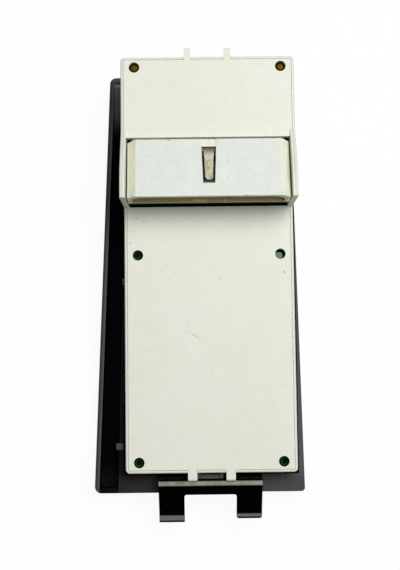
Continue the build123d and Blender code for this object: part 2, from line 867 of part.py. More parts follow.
def window_lever(x, y):
    """Lever with a dished paddle and a lip to pull on."""
    half = well_width / 2 - lever_side_gap
    under = lever_level + lever_plate
    lip_y = y + lever_reach
    lip_level = under + lever_lip_depth - lever_lip_slope
    paddle = side_prism(
        [(y - lever_tail, lever_level + lever_tail_drop), (y - lever_tail + lever_tail_run, lever_level),
         (lip_y, lever_level), (lip_y, lip_level), (lip_y - lever_lip_width, lip_level),
         (lip_y - lever_lip_width - lever_lip_slope, under), (y - lever_tail, under)],
        x - half, x + half,
    )
    paddle = fillet(paddle.edges().filter_by(Axis.Z), well_corner - lever_side_gap)
    middle = y + (lever_reach - lever_tail) / 2 + lever_dish_shift
    dish_x = half * lever_dish_share
    dish = rod(
        dish_radius, (x - dish_x, middle, lever_level + dish_depth - dish_radius),
        (x + dish_x, middle, lever_level + dish_depth - dish_radius),
    )
    return paddle - dish + actuator(x, y)


def door_lock_rocker(x, y):
    """Two-way rocker with a ridge across the middle."""
    half = rocker_well_width / 2 - lever_side_gap
    under = lever_level + lever_plate
    valley = rocker_level + rocker_ridge
    cap = side_prism(
        [(y - rocker_reach, rocker_level), (y - rocker_ridge_half, valley),
         (y, valley - rocker_ridge_height), (y + rocker_ridge_half, valley),
         (y + rocker_reach, rocker_level), (y + rocker_reach, under), (y - rocker_reach, under)],
        x - half, x + half,
    )
    cap = fillet(cap.edges().filter_by(Axis.Z), well_corner - lever_side_gap)
    return cap + actuator(x, y)


def contact_rocker(x, y):
    """Seesaw on two trunnions, with a groove in front for the end of a lever's leg."""
    half, reach = contact_width / 2, contact_length / 2
    front = trunnion_level - contact_under
    body = block(x - half, x + half, y - reach, y + reach, front, trunnion_level + contact_over)
    pin = half + guide_gap + guide_thickness
    body += rod(trunnion_radius, (x - pin, y, trunnion_level), (x + pin, y, trunnion_level))
    floor = pivot_level + leg_length + leg_end_radius + cam_clearance
    groove = side_prism(
        [(y - cam_mouth, front - 1), (y + cam_mouth, front - 1), (y + cam_mouth, front),
         (y + cam_floor, floor), (y - cam_floor, floor), (y - cam_mouth, front)],
        x - leg_width / 2 - cam_clearance, x + leg_width / 2 + cam_clearance,
    )
    return body - groove


def contact_wiper(x, y):
    """Brass strip on the seesaw, with a ridge at each end that meets a pad."""
    seat = trunnion_level + contact_over
    half, reach = wiper_width / 2, wiper_half_length
    body = block(x - half, x + half, y - reach, y + reach, seat, seat + wiper_sheet)
    for at in (y - reach + wiper_ridge, y + reach - wiper_ridge):
        ridge = rod(wiper_ridge, (x - half, at, seat + wiper_sheet), (x + half, at, seat + wiper_sheet))
        body += ridge & block(x - half, x + half, y - reach, y + reach, seat, far)
    return body


def lockout_button():
    x, y = -well_x, small_row_y
    cap = Pos(x, y, 0) * rounded_block(
        button_size, button_size, well_corner - button_gap, button_level,
        button_level + button_cap_height,
    )
    cap = chamfer(cap.faces().sort_by(Axis.Z)[0].edges(), button_bevel)
    stem_end = board_front - switch_height + button_entry
    stem_root = button_level + button_cap_height / 2
    return cap + rod(button_stem_radius, (x, y, stem_root), (x, y, stem_end))


# ---------------------------------------------------------------- spring clip
def rivet_places():
    return [clip_offset - rivet_spacing / 2, clip_offset + rivet_spacing / 2]


def clip_line():
    """Middle line of the folded sheet in the YZ plane, from its foot to its toes."""
    half = clip_sheet / 2
    wall = -half_length - half
    crown = cover_level - clip_crown_drop - half
    back = -half_length - clip_reach - half
    front = back - clip_crown - half
    return [
        (wall, clip_foot_level), (wall, crown - clip_neck_drop - clip_bend),
        (back, crown - clip_neck_drop), (back, crown), (front, crown),
        (front - clip_leg_run, crown - clip_leg_drop),
        (front - clip_leg_run - clip_toe, crown - clip_leg_drop),
    ]


def spring_clip():
    line = Plane.YZ * FilletPolyline(*clip_line(), radius=clip_bend)
    sheet = make_face(offset(line, clip_sheet / 2, kind=Kind.TANGENT, side=Side.BOTH).edges())
    body = Pos(clip_offset - clip_width / 2, 0, 0) * extrude(sheet, amount=clip_width, dir=(1, 0, 0))
    front = clip_line()[4][0]
    gap = clip_width / 2 - clip_leg_width
    body -= block(clip_offset - gap, clip_offset + gap, -far, front - clip_web, -1, cover_level)
    toe_end = clip_line()[-1][0] + clip_toe_skew
    body -= block(clip_offset, far, -far, toe_end, -1, cover_level)
    corners = body.edges().filter_by(Axis.Z).filter_by(lambda e: e.center().Y < front - clip_web + 0.1)
    body = fillet(corners, clip_corner)
    body -= block(
        clip_offset - clip_window / 2, clip_offset + clip_window / 2,
        -half_length - clip_reach, -half_length + 1, -1, clip_line()[2][1] + clip_sheet,
    )
    for x in rivet_places():
        body -= rod(rivet_radius, (x, -half_length - clip_sheet - 1, rivet_level),
                    (x, -half_length + 1, rivet_level))
    return body


def clip_rivets():
    out = -half_length - clip_sheet
    made = []
    for x in rivet_places():
        shank = rod(rivet_radius, (x, out, rivet_level), (x, -half_length + case_wall, rivet_level))
        made.append(shank + rod(rivet_head_radius, (x, out - rivet_head_height, rivet_level),
                                (x, out, rivet_level)))
    return Compound(made)


# ---------------------------------------------------------------- all nodes
nodes = {
    "bezel": bezel(),
    "switch_case": switch_case(),
    "rear_cover": rear_cover(),
    "connector_header": connector_header(),
    "latch_tongue": latch_tongue(),
    "terminal_pins": Compound(terminals()),
    "circuit_board": circuit_board(),
    "brass_standoffs": brass_standoffs(),
    "relays": relays(),
    "control_chip": control_chip(),
    "film_capacitor": film_capacitor(),
    "contact_pads": contact_pads(),
    "lockout_switch": lockout_switch(),
    "lockout_button": lockout_button(),
    "spring_clip": spring_clip(),
    "clip_rivets": clip_rivets(),
}
for name, x, y in mechanisms():
    if name == "door_lock":
        nodes["door_lock_rocker"] = door_lock_rocker(x, y)
    else:
        nodes[f"window_lever_{name}"] = window_lever(x, y)
    nodes[f"contact_rocker_{name}"] = contact_rocker(x, y)
    nodes[f"contact_wiper_{name}"] = contact_wiper(x, y)

os.makedirs("parts", exist_ok=True)
for name, shape in nodes.items():
    export_step(shape, f"parts/{name}.step")
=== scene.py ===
"""Finishes, lights and camera for a driver's door power window switch, lying on its bezel.

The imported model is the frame: Z = 0 is the front of the bezel, +Z points out of the back
and +Y points to the connector end. Every length here is in metres unless it is said to be in mm.
"""
import logging
import math
from dataclasses import dataclass, field
from enum import Enum
from functools import reduce
from typing import Sequence, Union

import bmesh
import bpy
import numpy as np
from mathutils import Matrix, Vector


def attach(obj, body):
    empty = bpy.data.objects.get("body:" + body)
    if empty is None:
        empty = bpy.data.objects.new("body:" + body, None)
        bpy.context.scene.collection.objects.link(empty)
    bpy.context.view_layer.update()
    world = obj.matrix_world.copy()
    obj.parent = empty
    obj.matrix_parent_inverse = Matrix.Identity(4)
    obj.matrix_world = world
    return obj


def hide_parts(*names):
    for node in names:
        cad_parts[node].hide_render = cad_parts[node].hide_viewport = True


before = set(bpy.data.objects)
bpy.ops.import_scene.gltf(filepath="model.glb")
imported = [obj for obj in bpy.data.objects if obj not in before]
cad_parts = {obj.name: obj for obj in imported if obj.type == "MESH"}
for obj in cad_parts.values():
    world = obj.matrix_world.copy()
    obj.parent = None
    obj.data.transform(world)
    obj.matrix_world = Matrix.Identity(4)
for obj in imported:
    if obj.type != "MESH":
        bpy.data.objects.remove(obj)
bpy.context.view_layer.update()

LOG = logging.getLogger("window_switch")
MM = 0.001
NOISE_MEAN = 0.5
# The sloping face of the connector ends at y 49.7, z 43, and falls 6.5 over its length, all in mm.
FACE_REAR = 49.7
FACE_LOW = 43.0
FACE_DROP = 6.5
FACE_LENGTH = 24.7
FACE_FALL = FACE_DROP / FACE_LENGTH

Ends = tuple[float, float]
Colour = tuple[float, float, float]
Place = tuple[float, float, float]
Node = bpy.types.Node
Socket = bpy.types.NodeSocket
Number = Union[Socket, float]
Tint = Union[Socket, Colour]


def linear(value: float) -> float:
    """Undoes the sRGB curve for one display value from 0 to 255."""
    share = value / 255
    return share / 12.92 if share <= 0.04045 else ((share + 0.055) / 1.055) ** 2.4


def srgb(red: float, green: float, blue: float) -> Colour:
    """Turns display values from 0 to 255 into linear ones."""
    return linear(red), linear(green), linear(blue)


class Value(Enum):
    """Kinds of socket on a node group."""

    NUMBER = "NodeSocketFloat"
    VECTOR = "NodeSocketVector"


# ------------------------------------------------------------------ shader plumbing
class Graph:
    """A node tree that is filled from left to right."""

    def __init__(self, tree: bpy.types.NodeTree) -> None:
        """Wraps an empty tree."""
        self.tree = tree
        self.count = 0
        self.held: dict[str, Node] = {}

    def add(self, kind: str, settings: dict[str, object] | None = None, **inputs: object) -> Node:
        """Adds a node.

        Args:
            kind: Blender's name of the node type.
            settings: Attributes of the node, such as its operation.
            inputs: Values or output sockets by input name, with _ for a space;
                in0, in1 and so on name an input by its number.

        Returns:
            The new node.
        """
        node = self.tree.nodes.new(kind)
        node.location = (180 * self.count, 0)
        self.count += 1
        for name, value in (settings or {}).items():
            setattr(node, name, value)
        for name, value in inputs.items():
            key = int(name[2:]) if name[:2] == "in" and name[2:].isdigit() else name.replace("_", " ")
            self.feed(node.inputs[key], value)
        return node

    def feed(self, socket: Socket, value: object) -> None:
        """Links an output socket to an input, or sets the input's value.

        Args:
            socket: The input.
            value: An output socket, a number, a vector, or a colour without its alpha.
        """
        if isinstance(value, Socket):
            self.tree.links.new(value, socket)
        elif isinstance(value, tuple) and len(value) == 3 and socket.type == "RGBA":
            socket.default_value = (*value, 1.0)
        else:
            socket.default_value = value

    def place(self) -> Socket:
        """Finds the point's place.

        Returns:
            Its place on the object, which is its place in the frame.
        """
        if "place" not in self.held:
            self.held["place"] = self.add("ShaderNodeTexCoord")
        return self.held["place"].outputs["Object"]

    def axis(self, index: int) -> Socket:
        """Splits the point's place.

        Args:
            index: 0, 1 or 2.

        Returns:
            X, Y or Z of the place.
        """
        if "axes" not in self.held:
            self.held["axes"] = self.add("ShaderNodeSeparateXYZ", Vector=self.place())
        return self.held["axes"].outputs[index]

    def plane(self, across: Place, start: float = 0.0) -> Socket:
        """Gives start + across . place, the distance from a plane."""
        node = self.add("ShaderNodeVectorMath", {"operation": "DOT_PRODUCT"}, in0=self.place(), in1=across)
        return self.maths("ADD", node.outputs["Value"], start)

    def maths(self, operation: str, *values: Number, clamp: bool = False) -> Socket:
        """Adds a Math node and gives its result."""
        inputs = {f"in{i}": value for i, value in enumerate(values)}
        return self.add("ShaderNodeMath", {"operation": operation, "use_clamp": clamp}, **inputs).outputs[0]

    def spread(self, value: Number, low: float, high: float, start: float = 0.0, end: float = 1.0) -> Socket:
        """Maps low..high to start..end with a smooth step, and gives the result."""
        return self.add("ShaderNodeMapRange", {"interpolation_type": "SMOOTHSTEP"},
                        in0=value, in1=low, in2=high, in3=start, in4=end).outputs[0]

    def above(self, value: Number, level: float, soft: float = 0.1 * MM) -> Socket:
        """Mask of where value is over level, soft to each side."""
        return self.spread(value, level - soft, level + soft)

    def below(self, value: Number, level: float, soft: float = 0.1 * MM) -> Socket:
        """Mask of where value is under level, soft to each side."""
        return self.spread(value, level + soft, level - soft)

    def within(self, value: Number, low: float, high: float, soft: float = 0.1 * MM) -> Socket:
        """Mask of where value lies between low and high."""
        return self.every(self.above(value, low, soft), self.below(value, high, soft))

    def apart(self, value: Number, middle: float) -> Socket:
        """Gives how far value is from middle, to either side."""
        return self.maths("ABSOLUTE", self.maths("SUBTRACT", value, middle))

    def every(self, *masks: Number) -> Number:
        """Multiplies masks and shares."""
        return reduce(lambda total, mask: self.maths("MULTIPLY", total, mask), masks)

    def mix(self, share: Number, first: Tint, second: Tint) -> Socket:
        """Mixes two colours, with share as the second one's part, and gives the result."""
        return self.add("ShaderNodeMix", {"data_type": "RGBA"}, in0=share, in6=first, in7=second).outputs[2]

    def lighten(self, colour: Tint, factor: Number) -> Socket:
        """Multiplies a colour's value by a factor."""
        return self.add("ShaderNodeHueSaturation", Color=colour, Value=factor).outputs[0]

    def group(self, name: str, **inputs: object) -> Node:
        """Places a node group.

        Args:
            name: The group's name.
            inputs: Values or output sockets by input name, with _ for a space.

        Returns:
            The group's node.
        """
        return self.add("ShaderNodeGroup", {"node_tree": bpy.data.node_groups[name]}, **inputs)

    def raise_normal(self, shader: Node, height: Socket, edges: Node, strength: float, depth: float) -> None:
        """Gives a shader bumps over its rounded edges.

        Args:
            shader: The shader.
            height: The bumps' height, from 0 to 1.
            edges: The node of the edge mask group, which rounds the edges.
            strength: Share of the bumps.
            depth: Their full height in metres.
        """
        bump = self.add("ShaderNodeBump", Height=height, Normal=edges.outputs["Rounded"],
                        Strength=strength, Distance=depth)
        self.feed(shader.inputs["Normal"], bump.outputs[0])


def new_group(
    name: str, takes: Sequence[tuple[str, Value, float | Place]], gives: Sequence[tuple[str, Value]]
) -> tuple[Graph, Node, Node]:
    """Makes an empty shader node group.

    Args:
        name: The group's name.
        takes: Name, kind and default of each input.
        gives: Name and kind of each output.

    Returns:
        The group's graph, its input node and its output node.
    """
    tree = bpy.data.node_groups.new(name, "ShaderNodeTree")
    for label, kind, default in takes:
        socket = tree.interface.new_socket(name=label, in_out="INPUT", socket_type=kind.value)
        socket.default_value = default
    for label, kind in gives:
        tree.interface.new_socket(name=label, in_out="OUTPUT", socket_type=kind.value)
    graph = Graph(tree)
    return graph, graph.add("NodeGroupInput"), graph.add("NodeGroupOutput")


@dataclass(frozen=True)
class SurfaceEffects:
    """The node groups that the finishes share.

    Attributes:
        coarse_ratio: Size of the coarse grain over that of the fine grain.
        fine_share: Part of the fine grain in the sum of both.
        edge_break_scale: Scale of the noise that breaks up the edge mask.
        edge_break_patches: Where that noise starts and ends a patch.
        hairlines: Turn in radians and seed of each direction of hairlines.
        hairline_offsets: Shift of the noise along X, Y and Z, in seeds.
        hairline_scale: Scale of the noise along X, Y and Z, low along the lines.
        region_scale: Scale of the larger noise that picks where hairlines show.
        region_ends: Where that noise starts and ends a region.
        warp_scale: Scale of the noise that makes specks uneven.
        warp_reach: How far it moves them.
        ragged_scale: Scale of the noise at the ends of a mark.
        ragged_share: How far that noise moves the ends, in half lengths.
        fade_ends: Where a mark starts and is full, in half lengths.
    """

    GRAIN = "moulded_grain"
    EDGES = "edge_highlight_and_wear"
    SCRATCHES = "fine_scratches"
    SPECKS = "dirt_specks"
    CLOUDS = "ageing_clouds"
    OCCLUSION_SHADE = "painted_occlusion_shade"
    MARK = "rub_mark"

    coarse_ratio: float = 4.5
    fine_share: float = 0.65
    edge_break_scale: float = 420.0
    edge_break_patches: Ends = (0.38, 0.62)
    hairlines: tuple[Ends, ...] = ((0.35, 1.7), (1.35, 4.1), (2.45, 9.3))
    hairline_offsets: Place = (1.0, 0.7, 1.3)
    hairline_scale: Place = (60.0, 520.0, 60.0)
    region_scale: float = 0.45
    region_ends: Ends = (0.63, 0.7)
    warp_scale: float = 900.0
    warp_reach: float = 0.6 * MM
    ragged_scale: float = 1800.0
    ragged_share: float = 0.5
    fade_ends: Ends = (1.0, 0.55)

    def build(self) -> None:
        """Makes all the groups."""
        for make in (self.grain, self.edges, self.scratches, self.specks, self.clouds, self.occlusion_shade, self.mark):
            make()

    def grain(self) -> None:
        """Spark-eroded mould texture: two noises of different size, added."""
        graph, given, out = new_group(
            self.GRAIN,
            [("Grain size", Value.NUMBER, 0.4 * MM), ("Contrast", Value.NUMBER, 1.0)],
            [("Height", Value.NUMBER), ("Shade", Value.NUMBER)],
        )
        scale = graph.maths("DIVIDE", 1.0, given.outputs["Grain size"])
        coarse_scale = graph.maths("DIVIDE", scale, self.coarse_ratio)
        fine = graph.add("ShaderNodeTexNoise", Vector=graph.place(), Scale=scale, Detail=2.0, Roughness=0.6)
        coarse = graph.add("ShaderNodeTexNoise", Vector=graph.place(), Scale=coarse_scale, Detail=3.0)
        coarse_part = graph.maths("MULTIPLY", coarse.outputs[0], 1.0 - self.fine_share)
        both = graph.maths("MULTIPLY_ADD", fine.outputs[0], self.fine_share, coarse_part)
        graph.feed(out.inputs["Height"], both)
        swing = graph.maths("SUBTRACT", both, NOISE_MEAN)
        graph.feed(out.inputs["Shade"], graph.maths("MULTIPLY", swing, given.outputs["Contrast"]))

    def edges(self) -> None:
        """Mask of outer edges, for painted edge highlights and worn metal edges: where a rounded normal
        leaves the true one, broken by noise.
        """
        graph, given, out = new_group(
            self.EDGES,
            [("Radius", Value.NUMBER, 0.3 * MM), ("Gain", Value.NUMBER, 4.0),
             ("Break up", Value.NUMBER, 0.5)],
            [("Mask", Value.NUMBER), ("Rounded", Value.VECTOR)],
        )
        rounded = graph.add("ShaderNodeBevel", {"samples": 6}, Radius=given.outputs["Radius"])
        true = graph.add("ShaderNodeNewGeometry").outputs["Normal"]
        dot = graph.add("ShaderNodeVectorMath", {"operation": "DOT_PRODUCT"},
                        in0=rounded.outputs[0], in1=true)
        bend = graph.maths("SUBTRACT", 1.0, dot.outputs["Value"])
        mask = graph.maths("MULTIPLY", bend, given.outputs["Gain"], clamp=True)
        noise = graph.add("ShaderNodeTexNoise", Vector=graph.place(), Scale=self.edge_break_scale, Detail=4.0)
        patch = graph.spread(noise.outputs[0], *self.edge_break_patches)
        broken = graph.maths("MULTIPLY", mask, patch)
        mixed = graph.add("ShaderNodeMix", {"data_type": "FLOAT"},
                          in0=given.outputs["Break up"], in2=mask, in3=broken)
        graph.feed(out.inputs["Mask"], mixed.outputs[0])
        graph.feed(out.inputs["Rounded"], rounded.outputs[0])

    def scratches(self) -> None:
        """Short hairlines in three directions: ridges of stretched noise, where a large noise is high."""
        graph, given, out = new_group(
            self.SCRATCHES,
            [("Amount", Value.NUMBER, 0.5), ("Width", Value.NUMBER, 0.006)],
            [("Mask", Value.NUMBER)],
        )
        total = None
        for turn, seed in self.hairlines:
            mapped = graph.add(
                "ShaderNodeMapping", Vector=graph.place(), Rotation=(0.0, 0.0, turn),
                Location=tuple(seed * share for share in self.hairline_offsets), Scale=self.hairline_scale,
            )
            noise = graph.add("ShaderNodeTexNoise", Vector=mapped.outputs[0], Scale=1.0, Detail=0.0)
            ridge = graph.apart(noise.outputs[0], NOISE_MEAN)
            line = graph.maths("LESS_THAN", ridge, given.outputs["Width"])
            region = graph.add("ShaderNodeTexNoise", Vector=mapped.outputs[0], Scale=self.region_scale,
                               Detail=1.0)
            kept = graph.maths("MULTIPLY", line, graph.spread(region.outputs[0], *self.region_ends))
            total = kept if total is None else graph.maths("MAXIMUM", total, kept)
        graph.feed(out.inputs["Mask"], graph.maths("MULTIPLY", total, given.outputs["Amount"]))

    def specks(self) -> None:
        """Small dirt specks: the middles of a few cells of a Voronoi pattern."""
        graph, given, out = new_group(
            self.SPECKS,
            [("Spacing", Value.NUMBER, 4 * MM), ("Size", Value.NUMBER, 0.05), ("Share", Value.NUMBER, 0.25)],
            [("Mask", Value.NUMBER)],
        )
        scale = graph.maths("DIVIDE", 1.0, given.outputs["Spacing"])
        warp = graph.add("ShaderNodeTexNoise", Vector=graph.place(), Scale=self.warp_scale, Detail=1.0)
        shifted = graph.add("ShaderNodeVectorMath", {"operation": "MULTIPLY_ADD"},
                            in0=warp.outputs["Color"], in1=(self.warp_reach,) * 3, in2=graph.place())
        cells = graph.add("ShaderNodeTexVoronoi", Vector=shifted.outputs[0], Scale=scale)
        dot = graph.maths("LESS_THAN", cells.outputs["Distance"], given.outputs["Size"])
        parts = graph.add("ShaderNodeSeparateColor", Color=cells.outputs["Color"])
        chosen = graph.maths("LESS_THAN", parts.outputs[0], given.outputs["Share"])
        graph.feed(out.inputs["Mask"], graph.maths("MULTIPLY", dot, chosen))

    def clouds(self) -> None:
        """Slow change of colour over a moulding: soft noise from -0.5 to 0.5."""
        graph, given, out = new_group(
            self.CLOUDS,
            [("Size", Value.NUMBER, 25 * MM), ("Seed", Value.NUMBER, 0.0)],
            [("Shade", Value.NUMBER)],
        )
        shift = graph.add("ShaderNodeCombineXYZ", in0=given.outputs["Seed"], in1=given.outputs["Seed"])
        moved = graph.add("ShaderNodeVectorMath", {"operation": "ADD"},
                          in0=graph.place(), in1=shift.outputs[0])
        scale = graph.maths("DIVIDE", 1.0, given.outputs["Size"])
        noise = graph.add("ShaderNodeTexNoise", Vector=moved.outputs[0], Scale=scale, Detail=3.0,
                          Roughness=0.55)
        graph.feed(out.inputs["Shade"], graph.maths("SUBTRACT", noise.outputs[0], NOISE_MEAN))

    def occlusion_shade(self) -> None:
        """Painted shade where surfaces meet: the share of the sky that near walls hide."""
        graph, given, out = new_group(
            self.OCCLUSION_SHADE,
            [("Reach", Value.NUMBER, 1.0 * MM), ("Start", Value.NUMBER, 0.35), ("Full", Value.NUMBER, 0.75)],
            [("Mask", Value.NUMBER)],
        )
        open_sky = graph.add("ShaderNodeAmbientOcclusion", {"samples": 6}, Distance=given.outputs["Reach"])
        hidden = graph.maths("SUBTRACT", 1.0, open_sky.outputs["AO"])
        mask = graph.add("ShaderNodeMapRange", {"interpolation_type": "SMOOTHSTEP"},
                         in0=hidden, in1=given.outputs["Start"], in2=given.outputs["Full"])
        graph.feed(out.inputs["Mask"], mask.outputs[0])

    def mark(self) -> None:
        """One long spot with ragged ends: a stretched distance from its middle, shifted by noise."""
        graph, given, out = new_group(
            self.MARK,
            [("Middle", Value.VECTOR, (0.0, 0.0, 0.0)), ("Turn", Value.VECTOR, (0.0, 0.0, 0.0)),
             ("Reach", Value.VECTOR, (1 * MM, 1 * MM, 1 * MM)), ("Amount", Value.NUMBER, 1.0)],
            [("Mask", Value.NUMBER)],
        )
        own = graph.add(
            "ShaderNodeMapping", {"vector_type": "TEXTURE"}, Vector=graph.place(),
            Location=given.outputs["Middle"], Rotation=given.outputs["Turn"], Scale=given.outputs["Reach"],
        )
        length = graph.add("ShaderNodeVectorMath", {"operation": "LENGTH"}, in0=own.outputs[0])
        distance = length.outputs["Value"]
        noise = graph.add("ShaderNodeTexNoise", Vector=graph.place(), Scale=self.ragged_scale, Detail=2.0)
        inwards = graph.maths("SUBTRACT", distance, self.ragged_share * NOISE_MEAN)
        ragged = graph.maths("MULTIPLY_ADD", noise.outputs[0], self.ragged_share, inwards)
        spot = graph.spread(ragged, *self.fade_ends)
        graph.feed(out.inputs["Mask"], graph.every(spot, given.outputs["Amount"]))


# ------------------------------------------------------------------ finishes
@dataclass(frozen=True)
class Mark:
    """A single scuff, spot or patch of painted shade, with its place in mm.

    Attributes:
        place: Its middle.
        reach: Half its length, half its width and how far it goes up and down.
        turn: Degrees about Z.
        amount: Share of the mark's colour.
        colour: The mark's colour.
    """

    place: Place
    reach: Place
    turn: float = 0.0
    amount: float = 0.5
    colour: Colour = srgb(96, 88, 66)

    def mask(self, graph: Graph) -> Socket:
        """Places the mark's group.

        Args:
            graph: The material's graph.

        Returns:
            The mark's mask, with its amount in it.
        """
        node = graph.group(
            SurfaceEffects.MARK, Middle=tuple(v * MM for v in self.place),
            Reach=tuple(v * MM for v in self.reach),
            Turn=(0.0, 0.0, math.radians(self.turn)), Amount=self.amount,
        )
        return node.outputs["Mask"]


def marks_at(level: float, depth: float, rows: Sequence[Sequence[float]]) -> tuple[Mark, ...]:
    """Places marks on a level face, in mm.

    Args:
        level: Height of the face.
        depth: How far the marks go up and down.
        rows: X, Y, half the length, half the width, turn and amount of each mark.

    Returns:
        The marks.
    """
    return tuple(
        Mark((x, y, level), (long, wide, depth), turn, amount) for x, y, long, wide, turn, amount in rows
    )


@dataclass(frozen=True)
class MouldedPlastic:
    """An injection-moulded plastic with grain, ageing, painted occlusion shade, specks, hairlines and painted
    edge highlights.
    """

    name: str
    colour: Colour
    roughness: float = 0.45
    specular: float = 0.3
    grain_size: float = 0.9 * MM
    grain_depth: float = 0.012 * MM
    grain_contrast: float = 0.2
    cloud_size: float = 28 * MM
    cloud_contrast: float = 0.05
    cloud_ends: Ends = (-0.1, 0.2)
    cloud_tint: Colour = srgb(205, 198, 160)
    # Painted shade: the colour, reach and share of the darkening in corners, gaps and recesses.
    occlusion_shade_colour: Colour = srgb(120, 108, 74)
    occlusion_shade_reach: float = 0.9 * MM
    occlusion_shade_strength: float = 0.15
    speck_share: float = 0.03
    speck_spacing: float = 6 * MM
    speck_colour: Colour = srgb(70, 60, 45)
    scratch_amount: float = 0.12
    scratch_colour: Colour = srgb(150, 145, 125)
    # Painted highlight colour for the outer edges.
    edge_colour: Colour = srgb(244, 245, 232)
    edge_gain: float = 4.0
    edge_strength: float = 0.4
    edge_radius: float = 0.3 * MM
    speck_strength: float = 0.7
    gloss_swing: float = 0.12
    bump_strength: float = 0.6
    marks: tuple[Mark, ...] = ()

    def local_colour(self, graph: Graph, colour: Tint) -> Tint:
        """Changes the colour by place. The plain plastic has none."""
        return colour

    def set_gloss(self, graph: Graph, shader: Node) -> None:
        """Sets more of the shader's gloss. The plain plastic has none."""

    def material(self) -> bpy.types.Material:
        """Builds the material.

        Returns:
            The material.
        """
        material, graph, shader = new_material(self.name)
        grain = graph.group(SurfaceEffects.GRAIN, Grain_size=self.grain_size, Contrast=self.grain_contrast)
        clouds = graph.group(SurfaceEffects.CLOUDS, Size=self.cloud_size)
        specks = graph.group(SurfaceEffects.SPECKS, Share=self.speck_share, Spacing=self.speck_spacing)
        scratches = graph.group(SurfaceEffects.SCRATCHES, Amount=self.scratch_amount)
        edges = graph.group(SurfaceEffects.EDGES, Radius=self.edge_radius, Gain=self.edge_gain)
        occlusion_shade = graph.group(SurfaceEffects.OCCLUSION_SHADE, Reach=self.occlusion_shade_reach)
        colour = self.local_colour(graph, self.colour)
        aged = graph.every(graph.spread(clouds.outputs[0], *self.cloud_ends), self.cloud_contrast)
        colour = graph.mix(aged, colour, self.cloud_tint)
        colour = graph.lighten(colour, graph.maths("ADD", 1.0, grain.outputs["Shade"]))
        # Painted highlight along the outer edges.
        colour = graph.mix(graph.every(edges.outputs["Mask"], self.edge_strength), colour, self.edge_colour)
        # Painted shade, darker where near walls hide the sky.
        colour = graph.mix(graph.every(occlusion_shade.outputs[0], self.occlusion_shade_strength), colour, self.occlusion_shade_colour)
        colour = graph.mix(scratches.outputs[0], colour, self.scratch_colour)
        for mark in self.marks:
            colour = graph.mix(mark.mask(graph), colour, mark.colour)
        colour = graph.mix(graph.every(specks.outputs[0], self.speck_strength), colour, self.speck_colour)
        graph.feed(shader.inputs["Base Color"], colour)
        swing = graph.every(clouds.outputs[0], self.gloss_swing)
        graph.feed(shader.inputs["Roughness"], graph.maths("ADD", self.roughness, swing, clamp=True))
        shader.inputs["Specular IOR Level"].default_value = self.specular
        graph.raise_normal(shader, grain.outputs["Height"], edges, self.bump_strength, self.grain_depth)
        self.set_gloss(graph, shader)
        return material


